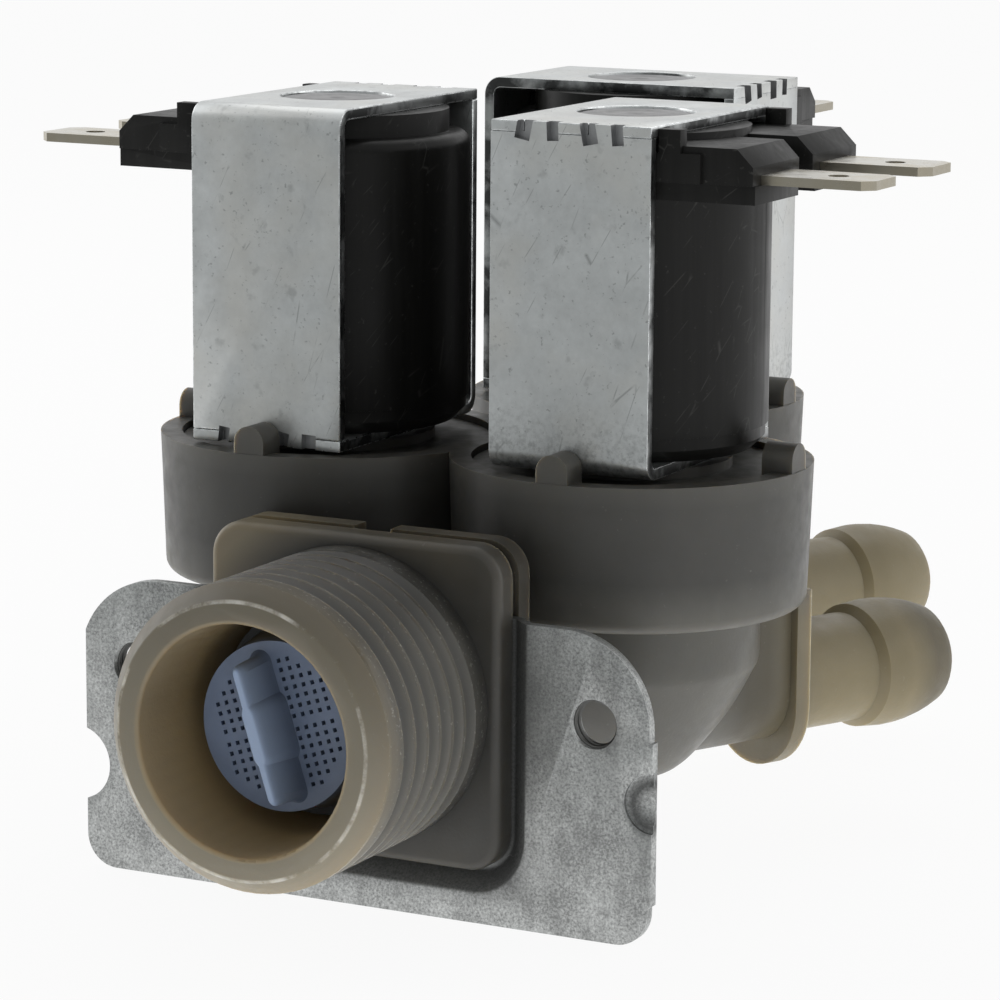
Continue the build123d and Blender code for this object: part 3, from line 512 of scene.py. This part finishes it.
def galvanised_finish(look):
    """Galvanised sheet: fine sparkling zinc grain, soft clouds, dull smudges and rubbed specks."""
    made = Finish("galvanised sheet")
    grain = made.noise(0.24 * MM, roughness=0.75)
    cloud = made.noise(4.5 * MM, detail=5, roughness=0.6)
    mix = made.maths("ADD", made.times(grain, 0.7), made.times(cloud, 0.3))
    base = made.blend(made.ramp(mix, 0, 1, 0.38, 0.62), rgba(look.bracket, 0.6), rgba(look.bracket, 1.42))
    rolled = made.noise(1.3 * MM, detail=5, place=made.stretched(1.0, 1.0, 0.22, (0, 0.5, 0)))
    base = made.blend(made.ramp(rolled, 0, 0.45, 0.5, 0.72), base, rgba(look.bracket, 0.55))

    # Painted shade round the flange, where the sheet is pressed in
    wide = made.maths("MAXIMUM", made.maths("ABSOLUTE", made.axis("X")), made.maths("ABSOLUTE", made.axis("Z")))
    base = made.blend(made.ramp(wide, 0.78, 0, 14.8 * MM, 17.8 * MM), base, rgba(look.bracket, 0.3))

    # Painted shade on the rim of the pressed dimple, whose middle stays bright
    offset = made.node("ShaderNodeVectorMath", {0: made.place, 1: DIMPLE}, operation="DISTANCE").outputs["Value"]
    rim = made.times(made.band(offset, 1.35 * MM, 2.5 * MM, 0.45 * MM), 0.85)
    base = made.blend(rim, base, rgba(look.bracket, 0.16))

    smudge = made.spots(1.7 * MM, 0.6, 0.72, 0.45, detail=4)
    stained = made.blend(smudge, base, rgba(look.bracket, 0.5))
    marks = made.times(made.scratches(2.6 * MM, 0.008, (0.3, 0.8, 0.5), 0.58), 0.5)
    made.colour(made.blend(marks, stained, rgba(look.bracket, 1.5)))
    made.roughness(made.ramp(mix, 0.58, 0.38, 0.36, 0.64))
    made.bump(made.maths("ADD", made.times(cloud, 0.6), grain), 0.025 * MM, 0.5)
    made.fixed(Metallic=0.9)
    return made.material


def zinc_finish(look, name, share=1.0, sheared=None):
    """Zinc plate on rolled steel: clouds, stains, pits and scratches, and edges that face along one axis, darker as
    bare steel and painted darker still for the dark they mirror.
    """
    made = Finish(name)
    cloud = made.noise(5 * MM, detail=6, roughness=0.62)
    fine = made.noise(0.6 * MM, detail=4, roughness=0.65)
    mix = made.maths("ADD", made.times(fine, 0.35), made.times(cloud, 0.65))
    base = made.blend(made.ramp(mix, 0, 1, 0.34, 0.66), rgba(look.yoke, 0.84 * share), rgba(look.yoke, 1.07 * share))
    base = made.blend(made.spots(8 * MM, 0.45, 0.7, 0.5), base, rgba(look.yoke_tint, share))

    # Pits and stains, and a worn foot on the right and rear yokes
    pits = made.spots(0.42 * MM, 0.64, 0.72, 0.6)
    stains = made.spots(1.9 * MM, 0.62, 0.74, 0.4, detail=5)
    foot = made.times(
        made.ramp(made.axis("Z"), 1, 0, 19.5 * MM, 26 * MM),
        made.ramp(made.axis("X"), 0.2, 1, -2 * MM, 2 * MM),
        made.spots(0.5 * MM, 0.46, 0.66, 0.75, detail=5, roughness=0.7),
    )
    worn = made.maths("MAXIMUM", made.maths("MAXIMUM", pits, stains), foot)
    plate = made.blend(worn, base, rgba(look.yoke, 0.42 * share))
    dark_marks = made.times(made.scratches(3.4 * MM, 0.012, (0.4, 0.2, 0.9), 0.54), 0.7)
    plate = made.blend(dark_marks, plate, rgba(look.yoke, 0.42 * share))
    # Edges that face along one axis: bare steel, with a painted dark reflection
    if sheared:
        facing = made.node("ShaderNodeSeparateXYZ", {"Vector": made.facing}).outputs[sheared]
        edge = made.ramp(made.maths("ABSOLUTE", facing), 0, 1, 0.8, 0.95)
        rubbed = made.spots(4.5 * MM, 0.44, 0.6, 1, detail=6, roughness=0.6)
        plate = made.blend(edge, plate, made.blend(rubbed, rgba(look.yoke, 0.09), rgba(look.yoke, 0.6)))
    made.colour(plate)
    made.roughness(made.ramp(mix, 0.3, 0.44, 0.34, 0.66))
    fine_marks = made.scratches(2.2 * MM, 0.007, (1.2, 0.6, 0.3), 0.6)
    made.bump(made.maths("SUBTRACT", made.times(mix, 0.7), made.times(fine_marks, 0.5)), 0.014 * MM, 0.5)
    made.fixed(Metallic=1.0)
    return made.material


def rubbed_finish(look):
    """Edges of the strip where the plate is rubbed bright."""
    made = Finish("rubbed zinc edge")
    cloud = made.noise(0.8 * MM, detail=4)
    made.colour(made.blend(made.ramp(cloud, 0, 1, 0.35, 0.6), rgba(look.yoke, 0.75), rgba(look.yoke, 1.3)))
    made.roughness(made.ramp(cloud, 0.4, 0.22, 0.35, 0.6))
    made.bump(made.noise(0.3 * MM), 0.02 * MM, 0.6)
    made.fixed(Metallic=1.0)
    return made.material


def coil_finish(look):
    """Black moulded coil: satin, with faint upright streaks and slanting pale scuffs."""
    made = Finish("black coil moulding")
    streak = made.noise(0.7 * MM, detail=4, place=made.stretched(1.0, 1.0, 0.05))
    cloud = made.noise(6 * MM, detail=4)
    scuff = made.scratches(1.5 * MM, 0.03, (-0.5, 0.5, 0.0), 0.54)
    dust = made.spots(0.5 * MM, 0.66, 0.76, 0.35)
    base = made.blend(made.ramp(streak, 0, 1, 0.35, 0.7), rgba(look.coil, 0.85), rgba(look.coil, 1.2))
    made.colour(made.blend(made.maths("MAXIMUM", made.times(scuff, 0.4), dust), base, rgba(look.coil, 8.0)))
    made.roughness(made.ramp(made.maths("ADD", streak, cloud), 0.3, 0.46, 0.7, 1.3))
    made.bump(made.maths("SUBTRACT", streak, made.times(scuff, 0.4)), 0.012 * MM, 0.5)
    made.fixed(Specular_IOR_Level=0.16)
    return made.material


def terminal_finish(look):
    """Tinned brass blade: pale tin on the faces, browner where worn and on its cut edges."""
    made = Finish("tinned brass blade")
    worn = made.spots(2.2 * MM, 0.42, 0.62, 0.7, detail=4)
    level = made.node("ShaderNodeSeparateXYZ", {"Vector": made.facing}).outputs["Z"]
    cut_edges = made.ramp(made.maths("ABSOLUTE", level), 0.85, 0, 0.1, 0.4)
    tinned = made.blend(worn, rgba(look.terminal_tin), rgba(look.terminal))
    made.colour(made.blend(cut_edges, tinned, rgba(look.terminal, 0.6)))
    made.roughness(made.ramp(made.noise(0.4 * MM, place=made.stretched(0.2, 1.0, 1.0)), 0.26, 0.42, 0.3, 0.7))
    made.bump(made.noise(0.3 * MM, place=made.stretched(0.15, 1.0, 1.0)), 0.006 * MM, 0.5)
    made.fixed(Metallic=1.0)
    return made.material


def filter_finish(look):
    """Blue moulded nylon of the filter: painted light on the grip bar, painted shade on the cage behind the face."""
    made = Finish("blue filter nylon")
    depth = made.axis("Y")
    base = made.mottled(made.noise(2.5 * MM, detail=4), look.colour, 0.9, 1.08)
    # Painted light: the grip bar in front of the face is paler
    base = made.blend(made.ramp(depth, 0.75, 0, -16.2 * MM, -13.2 * MM), base, rgba(look.bar))
    # Painted shade: the cage behind the face is darker
    made.colour(made.blend(made.ramp(depth, 0, 1, -12.2 * MM, -11.4 * MM), base, rgba(look.cage)))
    made.roughness(made.ramp(made.noise(1.1 * MM), 0.34, 0.5, 0.3, 0.7))
    made.bump(made.noise(0.25 * MM), 0.01 * MM, 0.5)
    made.fixed(Subsurface_Weight=0.12, Subsurface_Radius=look.bleed, Subsurface_Scale=1.0)
    return made.material


def inner_finish(name, colour, metallic=0.0, rough=0.4, grain=0.4):
    """Plain material with slight variation and a fine grain, its size in millimetres."""
    made = Finish(name)
    made.colour(made.mottled(made.noise(2 * MM, detail=4), colour, 0.86, 1.12))
    made.roughness(made.ramp(made.noise(0.8 * MM), rough - 0.06, rough + 0.1, 0.3, 0.7))
    made.bump(made.noise(grain * MM), 0.01 * MM, 0.5)
    made.fixed(Metallic=metallic)
    return made.material


# Settings


class BodyLook(bpy.types.PropertyGroup):
    """Sizes and colours of the moulded body."""

    grey: FloatVectorProperty(
        name="Nylon", description="Colour of the plain walls", subtype="COLOR", default=(0.100, 0.097, 0.085)
    )
    # Dark nylon: partly black rubber showing through the walls, and partly painted shade on the cups, on the flange's
    # middle and in the thread's roots
    backed_and_shaded: FloatVectorProperty(
        name="Nylon over rubber",
        description="Colour of the walls with black rubber behind them",
        subtype="COLOR",
        default=(0.038, 0.037, 0.033),
    )
    # Painted light: the hose tails are set paler and warmer for light that shines through their thin walls; a dark
    # share of this colour is the painted shade in the ducts
    warm: FloatVectorProperty(
        name="Thin nylon",
        description="Colour of the hose tails",
        subtype="COLOR",
        default=(0.212, 0.176, 0.098),
    )
    mouth: FloatVectorProperty(
        name="Mouth", description="Colour of the ring at the mouth", subtype="COLOR", default=(0.200, 0.179, 0.130)
    )
    # Painted light on the flange's outer corners
    corner: FloatVectorProperty(
        name="Flange corners",
        description="Colour of the flange's outer corners",
        subtype="COLOR",
        default=(0.180, 0.152, 0.098),
    )
    # Painted light and shade: the brown inside the bore and on the lead-in
    brown: FloatVectorProperty(
        name="Deep nylon", description="Colour inside the bore", subtype="COLOR", default=(0.250, 0.188, 0.102)
    )
    # Colour of the painted highlight round the mouth, as well as of the rubbed crests and specks
    rubbed: FloatVectorProperty(
        name="Rubbed nylon", description="Colour of rubbed edges", subtype="COLOR", default=(0.60, 0.59, 0.55)
    )
    bleed: FloatVectorProperty(
        name="Bleed",
        description="How far red, green and blue light runs inside the nylon",
        unit="LENGTH",
        default=(0.0026, 0.0020, 0.0012),
        precision=4,
    )
    thread_pitch: FloatProperty(
        name="Thread pitch", description="Pitch of the inlet thread", unit="LENGTH", default=2.21 * MM
    )
    thread_depth: FloatProperty(
        name="Thread depth", description="Depth of the inlet thread", unit="LENGTH", default=0.72 * MM
    )
    thread_radius: FloatProperty(
        name="Thread radius", description="Radius over the crests", unit="LENGTH", default=13.2 * MM
    )


class MetalLook(bpy.types.PropertyGroup):
    """Colours of the metal pieces."""

    bracket: FloatVectorProperty(
        name="Galvanised", description="Colour of the bracket", subtype="COLOR", default=(0.415, 0.425, 0.42)
    )
    yoke: FloatVectorProperty(
        name="Zinc plate", description="Colour of the yokes", subtype="COLOR", default=(0.60, 0.62, 0.62)
    )
    yoke_tint: FloatVectorProperty(
        name="Plate tint", description="Faint warm tint in the plate", subtype="COLOR", default=(0.59, 0.58, 0.54)
    )
    terminal: FloatVectorProperty(
        name="Brass", description="Colour of the blades where worn", subtype="COLOR", default=(0.55, 0.50, 0.39)
    )
    terminal_tin: FloatVectorProperty(
        name="Tin", description="Colour of the tin on the blades", subtype="COLOR", default=(0.66, 0.645, 0.595)
    )
    edge: FloatProperty(
        name="Edge radius", description="Radius on the sheared edges", unit="LENGTH", default=0.15 * MM
    )


class CoilLook(bpy.types.PropertyGroup):
    """Colour and edges of the coil mouldings."""

    coil: FloatVectorProperty(
        name="Moulding", description="Colour of the coil moulding", subtype="COLOR", default=(0.0085, 0.0085, 0.0080)
    )
    edge: FloatProperty(
        name="Edge radius", description="Radius on the moulded edges", unit="LENGTH", default=0.25 * MM
    )


class FilterLook(bpy.types.PropertyGroup):
    """Colours and screen of the filter."""

    colour: FloatVectorProperty(
        name="Screen", description="Colour of the face", subtype="COLOR", default=(0.118, 0.156, 0.236)
    )
    # Painted light: the grip bar's paler colour
    bar: FloatVectorProperty(
        name="Bar", description="Colour of the grip bar", subtype="COLOR", default=(0.270, 0.350, 0.490)
    )
    # Painted shade: the cage's dark colour
    cage: FloatVectorProperty(
        name="Cage", description="Colour of the cage behind the face", subtype="COLOR", default=(0.090, 0.098, 0.105)
    )
    bleed: FloatVectorProperty(
        name="Bleed",
        description="How far red, green and blue light runs inside the nylon",
        unit="LENGTH",
        default=(0.0004, 0.0006, 0.0011),
        precision=4,
    )
    hole: FloatProperty(name="Hole", description="Side of the square holes", unit="LENGTH", default=0.36 * MM)
    tilt: FloatProperty(name="Tilt", description="Lean of the grip bar", subtype="ANGLE", default=math.radians(18))
    face_radius: FloatProperty(name="Face", description="Radius of the screen", unit="LENGTH", default=7.3 * MM)
    face_depth: FloatProperty(
        name="Face depth", description="Place of the screen along the inlet", unit="LENGTH", default=-12.6 * MM
    )


class StageLook(bpy.types.PropertyGroup):
    """Camera and light of the studio."""

    camera_place: FloatVectorProperty(
        name="Camera place",
        description="Where the camera stands",
        subtype="XYZ",
        unit="LENGTH",
        default=(0.166585, -0.299438, 0.081993),
        precision=5,
    )
    azimuth: FloatProperty(
        name="Azimuth", description="Turn of the camera round the valve", subtype="ANGLE", default=math.radians(26.97)
    )
    elevation: FloatProperty(
        name="Elevation", description="How far the camera looks down", subtype="ANGLE", default=math.radians(10.70)
    )
    roll: FloatProperty(
        name="Roll", description="Lean of the camera", subtype="ANGLE", default=math.radians(0.418)
    )
    lens: FloatProperty(
        name="Lens", description="Focal length in millimetres on a 36 mm sensor", default=146.62
    )
    floor_colour: FloatVectorProperty(
        name="Floor", description="Colour of the studio floor", subtype="COLOR", default=(0.86, 0.86, 0.86)
    )
    key: FloatProperty(name="Key light", description="Strength of the top light", unit="POWER", default=0.6)
    fill: FloatProperty(name="Fill light", description="Strength of the right light", unit="POWER", default=0.32)
    left_share: FloatProperty(
        name="Left share", description="How much stronger the left light is than the right one", default=1.8
    )
    floor_glow: FloatProperty(name="Floor glow", description="Share of its own light in the floor", default=0.85)
    floor_light: FloatProperty(name="Floor light", description="Strength of the light from the floor", default=1.7)
    dim: FloatProperty(name="Dim side", description="Sky behind the camera", default=0.26)
    bright: FloatProperty(name="Bright side", description="Sky behind the valve", default=0.72)
    card_colour: FloatVectorProperty(
        name="Card", description="Colour of the grey studio card", subtype="COLOR", default=(0.46, 0.47, 0.47)
    )
    seed: IntProperty(name="Seed", description="Start of the random draws", default=7)


# Operators


class VALVE_OT_body(bpy.types.Operator):
    """Moulded body and the bonnets that it holds"""

    bl_idname = "valve.body"
    bl_label = "Body"

    def execute(self, context):
        look = context.scene.valve_body
        nylon = nylon_finish(look)
        pitch, depth, radius = look.thread_pitch, look.thread_depth, look.thread_radius
        groove = [
            (radius + 0.25 * MM, -0.46 * pitch),
            (radius, -0.40 * pitch),
            (radius - depth, -0.22 * pitch),
            (radius - 0.86 * depth, 0.02 * pitch),
            (radius, 0.40 * pitch),
            (radius + 0.25 * MM, 0.46 * pitch),
        ]
        turns = (THREAD_END - THREAD_START) / pitch
        tool = screw_tool("thread_tool", groove, THREAD_START, pitch, turns, fade=0.8)
        rework("valve_body", "threaded_valve_body", [nylon], [tool])
        clear_tools(tool)
        tube_end = inner_finish("dull tube end", (0.31, 0.31, 0.315), rough=0.5, grain=0.6)
        for side in SIDES:
            paint(f"{side}_guide_tube", nylon)
            x, y, _ = VALVES[side]
            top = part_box(f"{side}_guide_tube")[1].z
            dress(disc_of_rings(f"{side}_tube_end_mark", (x, y, top - 0.01 * MM), TUBE_END), tube_end)
        return {"FINISHED"}


class VALVE_OT_bracket(bpy.types.Operator):
    """Galvanised mounting bracket"""

    bl_idname = "valve.bracket"
    bl_label = "Bracket"

    def execute(self, context):
        look = context.scene.valve_metal
        sheet = galvanised_finish(look)
        ball = bmesh.new()
        bmesh.ops.create_icosphere(ball, subdivisions=4, radius=DIMPLE_BALL)
        bmesh.ops.translate(ball, verts=ball.verts, vec=Vector(DIMPLE) - Vector((0, DIMPLE_LIFT, 0)))
        mesh = bpy.data.meshes.new("dimple_tool")
        ball.to_mesh(mesh)
        ball.free()
        tool = add_object("dimple_tool", mesh)
        rework("mounting_bracket", "galvanised_bracket", [sheet, rubbed_finish(look)], [tool], edge=look.edge)
        clear_tools(tool)

        # Screw thread in the two drawn collars
        cut_metal = inner_finish("threaded collar", (0.16, 0.16, 0.155), metallic=0.9, rough=0.4, grain=0.1)
        ridge = [(2.2 * MM, -0.26 * MM), (1.9 * MM, 0.0), (2.2 * MM, 0.26 * MM)]
        pitch, lead = 0.7 * MM, 0.3 * MM
        start, turns = COLLAR_FRONT + lead, (COLLAR_BACK - COLLAR_FRONT - 2 * lead) / pitch
        for side, x in COLLARS.items():
            thread = screw_tool(f"{side}_collar_thread", ridge, start, pitch, turns, place=(x, COLLAR_Z))
            dress(thread, cut_metal)
        return {"FINISHED"}


def stake_tool(side, draw):
    """Punch marks that swage the stakes of a yoke, at its top on one side and its bottom on the other."""
    x, y, turn = VALVES[side]
    low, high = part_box(f"{side}_yoke_upper")
    half_depth = (high.y - low.y) / 2 if side != "rear" else (high.x - low.x) / 2
    spin = Matrix.Rotation(turn, 3, "Z")
    groups = []
    for height, way, face in ((high.z, -1, -half_depth), (low.z, 1, half_depth)):
        for stake, (end, width) in product(STAKES, PUNCHES):
            tall = draw.uniform(PUNCH_LEAST, PUNCH_MOST) * MM
            lean = Matrix.Rotation(draw.uniform(-PUNCH_LEAN, PUNCH_LEAN), 3, "Y")
            middle = Vector((stake + end, face, height + way * (tall / 2 - PUNCH_PAST)))
            corners = box_corners(middle, Vector((width / 2, PUNCH_DEPTH, tall / 2 + PUNCH_PAST)), lean)
            groups.append([spin @ corner + Vector((x, y, 0)) for corner in corners])
    return boxes(f"{side}_stake_tool", groups)


class VALVE_OT_coils(bpy.types.Operator):
    """Yokes, coil mouldings and blades"""

    bl_idname = "valve.coils"
    bl_label = "Coils"

    def execute(self, context):
        metal = context.scene.valve_metal
        strips = {
            "left": zinc_finish(metal, "zinc plated strip", sheared="X"),
            "rear": zinc_finish(metal, "zinc plated strip of the rear yoke", sheared="Y"),
        }
        strips["right"] = strips["left"]
        rubbed = rubbed_finish(metal)
        # Painted shade: the faces cut by the stake punches get a darker zinc, for the shade inside the punched hollows
        punch_shade = inner_finish("crushed zinc plate", (0.36, 0.365, 0.37), metallic=1.0, rough=0.4, grain=0.5)
        black = coil_finish(context.scene.valve_coil)
        blade = terminal_finish(metal)
        sleeve = zinc_finish(metal, "zinc plated sleeve", 0.55)
        draw = random.Random(context.scene.valve_stage.seed)
        for side in SIDES:
            tool = stake_tool(side, draw)
            tool.data.materials.append(punch_shade)
            for piece in ("yoke_upper", "yoke_lower"):
                finishes = [strips[side], rubbed]
                rework(f"{side}_{piece}", f"{side}_staked_{piece}", finishes, [tool], edge=metal.edge)
            clear_tools(tool)
            rework(f"{side}_coil_case", f"{side}_coil_moulding", [black], edge=context.scene.valve_coil.edge)
            for piece in ("terminal_a", "terminal_b"):
                paint(f"{side}_{piece}", blade)
            for piece in ("lower_sleeve", "upper_sleeve"):
                paint(f"{side}_{piece}", sleeve)
        return {"FINISHED"}


class VALVE_OT_inside(bpy.types.Operator):
    """Pieces inside the valve"""

    bl_idname = "valve.inside"
    bl_label = "Inner pieces"

    def execute(self, context):
        rubber = inner_finish("black rubber", (0.022, 0.022, 0.023), rough=0.6)
        white = inner_finish("white nylon", (0.62, 0.62, 0.58), rough=0.45)
        copper = inner_finish("enamelled copper", (0.55, 0.24, 0.12), metallic=0.9, rough=0.35, grain=0.15)
        steel = inner_finish("turned stainless steel", (0.52, 0.52, 0.52), metallic=1.0, rough=0.3)
        finishes = {
            "bobbin": white,
            "winding": copper,
            "plunger": steel,
            "plunger_tip": rubber,
            "plunger_spring": steel,
            "diaphragm": rubber,
            "diaphragm_insert": white,
        }
        for side in SIDES:
            for piece, finish in finishes.items():
                paint(f"{side}_{piece}", finish)
        paint("flow_washer", rubber)
        return {"FINISHED"}


class VALVE_OT_filter(bpy.types.Operator):
    """Blue inlet filter"""

    bl_idname = "valve.filter"
    bl_label = "Filter"

    def execute(self, context):
        look = context.scene.valve_filter
        blue = filter_finish(look)
        bar_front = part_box("inlet_filter")[0].y
        lean = Matrix.Rotation(-look.tilt, 3, "Y")

        def seat_back(corner):
            """Set the screen deeper and wider, and let the grip bar stand taller on it."""
            if corner.y > FILTER_RIM:
                return corner
            if corner.y >= FILTER_FACE - 0.01 * MM:
                share = (FILTER_RIM - corner.y) / (FILTER_RIM - FILTER_FACE)
                wide = 1 + share * (look.face_radius / FILTER_RADIUS - 1)
                y = FILTER_RIM - share * (FILTER_RIM - look.face_depth)
                return Vector((corner.x * wide, y, corner.z * wide))
            share = (FILTER_FACE - corner.y) / (FILTER_FACE - bar_front)
            flat = lean.inverted() @ Vector((corner.x, 0, corner.z))
            flat.x *= 1 - BAR_SLIMMER * share
            flat = lean @ flat
            return Vector((flat.x, look.face_depth + share * (bar_front - look.face_depth), flat.z))

        # Square holes in two fields on each side of the bar, split by a plain band across the middle
        half = Vector((look.hole / 2, HOLE_REACH, look.hole / 2))
        groups = []
        for side, column, row, way in product((-1, 1), range(HOLE_COLUMNS), range(HOLE_ROWS), (-1, 1)):
            u = side * (HOLE_FIRST[0] + HOLE_STEP[0] * column)
            v = way * (HOLE_FIRST[1] + HOLE_STEP[1] * row)
            if math.hypot(u, v) <= look.face_radius - SCREEN_RIM:
                corners = box_corners(Vector((u, look.face_depth, v)), half)
                groups.append([lean @ corner for corner in corners])
        tool = boxes("screen_tool", groups)
        rework("inlet_filter", "inlet_filter_screen", [blue], [tool], reshape=seat_back)
        clear_tools(tool)
        return {"FINISHED"}


def add_light(name, place, size, power):
    """Soft light at a place, aimed at the valve."""
    lamp = bpy.data.lights.new(name, "AREA")
    lamp.shape = "RECTANGLE"
    lamp.size, lamp.size_y = size
    lamp.energy = power
    holder = add_object(name, lamp)
    holder.location = place
    holder.rotation_euler = (Vector(LIT_POINT) - Vector(place)).to_track_quat("-Z", "Y").to_euler()


def lay_floor(stage, z):
    """Pale floor that is white to the camera and lights the valve from below."""
    edge = [(-FLOOR_REACH, -FLOOR_REACH, z), (FLOOR_REACH, -FLOOR_REACH, z)]
    edge += [(FLOOR_REACH, FLOOR_REACH, z), (-FLOOR_REACH, FLOOR_REACH, z)]
    floor = add_mesh("studio_floor", edge, [(0, 1, 2, 3)], smooth=False)
    made = Finish("studio floor")
    made.fixed(Base_Color=(*stage.floor_colour, 1.0), Roughness=0.9)
    seen = made.seen()
    strength = made.ramp(seen, stage.floor_light, 1.0)
    white = made.node("ShaderNodeEmission", {"Color": (1, 1, 1, 1), "Strength": strength})
    share = made.maths("MAXIMUM", made.times(seen, 0.93), stage.floor_glow)
    made.surface(made.node("ShaderNodeMixShader", {0: share, 1: made.shader.outputs[0], 2: white.outputs[0]}))
    floor.data.materials.append(made.material)


def hang_sky(stage):
    """Sky that is dim on the camera's side and bright behind the valve, and plain where it is seen."""
    world = bpy.data.worlds.new("studio")
    bpy.context.scene.world = world
    world.use_nodes = True
    sky = Nodes(world.node_tree)
    heading = sky.node("ShaderNodeSeparateXYZ", {"Vector": sky.heading}).outputs["Y"]
    lit = sky.tree.nodes["Background"]
    sky.feed(lit.inputs["Color"], (1, 1, 1, 1))
    sky.feed(lit.inputs["Strength"], sky.ramp(heading, stage.dim, stage.bright, SKY_FRONT, SKY_BACK))
    plain = sky.node("ShaderNodeBackground", {"Strength": 1.0})
    both = sky.node("ShaderNodeMixShader", {0: sky.seen(), 1: lit.outputs[0], 2: plain.outputs[0]})
    sky.tree.links.new(both.outputs[0], sky.tree.nodes["World Output"].inputs["Surface"])


def set_card(stage, floor_z):
    """Grey card on the camera's side, which the flat metal fronts mirror: one part stands and one lies."""
    made = Finish("grey studio card")
    made.surface(made.node("ShaderNodeEmission", {"Color": (*stage.card_colour, 1.0)}))
    z, y, top, left, right = floor_z + 0.5 * MM, -0.36, 0.5, -1.2, 0.9
    upright = [(left, y, z), (right, y, z), (right, y, top), (left, y, top)]
    near, left, right = -0.05, -0.9, 0.12
    lying = [(left, y, z), (right, y, z), (right, near, z), (left, near, z)]
    card = add_mesh("studio_card", upright + lying, [(0, 1, 2, 3), (4, 5, 6, 7)], smooth=False)
    card.data.materials.append(made.material)
    card.visible_camera = False
    card.visible_shadow = False
    card.visible_diffuse = False


class VALVE_OT_stage(bpy.types.Operator):
    """Floor, lights and camera"""

    bl_idname = "valve.stage"
    bl_label = "Stage"

    def execute(self, context):
        scene = context.scene
        stage = scene.valve_stage
        scene.view_settings.view_transform = "Standard"
        z = cad_low[2] - FLOOR_GAP
        lay_floor(stage, z)
        hang_sky(stage)
        set_card(stage, z)
        add_light("top_light", (-0.10, 0.30, 0.50), (0.50, 0.50), stage.key)
        add_light("right_light", (0.50, 0.25, 0.16), (0.40, 0.50), stage.fill)
        add_light("left_light", (-0.50, 0.05, 0.20), (0.40, 0.50), stage.fill * stage.left_share)

        lens = bpy.data.cameras.new("camera")
        lens.sensor_width = SENSOR_WIDTH
        lens.lens = stage.lens
        lens.clip_start = CLIP_START
        camera = add_object("camera", lens)
        turn = (
            Matrix.Rotation(stage.azimuth, 4, "Z")
            @ Matrix.Rotation(math.pi / 2 - stage.elevation, 4, "X")
            @ Matrix.Rotation(stage.roll, 4, "Z")
        )
        camera.matrix_world = Matrix.Translation(stage.camera_place) @ turn
        scene.camera = camera
        return {"FINISHED"}


OPERATORS = (VALVE_OT_body, VALVE_OT_bracket, VALVE_OT_coils, VALVE_OT_inside, VALVE_OT_filter, VALVE_OT_stage)


class VALVE_PT_panel(bpy.types.Panel):
    """Lists the steps that dress the valve"""

    bl_label = "Inlet Valve"
    bl_idname = "VALVE_PT_panel"
    bl_space_type = "VIEW_3D"
    bl_region_type = "UI"
    bl_category = "Inlet Valve"

    def draw(self, context):
        for operator in OPERATORS:
            self.layout.operator(operator.bl_idname)


LOOKS = {
    "valve_body": BodyLook,
    "valve_metal": MetalLook,
    "valve_coil": CoilLook,
    "valve_filter": FilterLook,
    "valve_stage": StageLook,
}


def register():
    for look in LOOKS.values():
        bpy.utils.register_class(look)
    for operator in OPERATORS:
        bpy.utils.register_class(operator)
    bpy.utils.register_class(VALVE_PT_panel)
    for name, look in LOOKS.items():
        setattr(bpy.types.Scene, name, PointerProperty(type=look))


def unregister():
    for name in LOOKS:
        delattr(bpy.types.Scene, name)
    bpy.utils.unregister_class(VALVE_PT_panel)
    for operator in reversed(OPERATORS):
        bpy.utils.unregister_class(operator)
    for look in reversed(list(LOOKS.values())):
        bpy.utils.unregister_class(look)


def main():
    register()
    bpy.ops.valve.body()
    bpy.ops.valve.bracket()
    bpy.ops.valve.coils()
    bpy.ops.valve.inside()
    bpy.ops.valve.filter()
    bpy.ops.valve.stage()


if __name__ == "__main__":
    main()
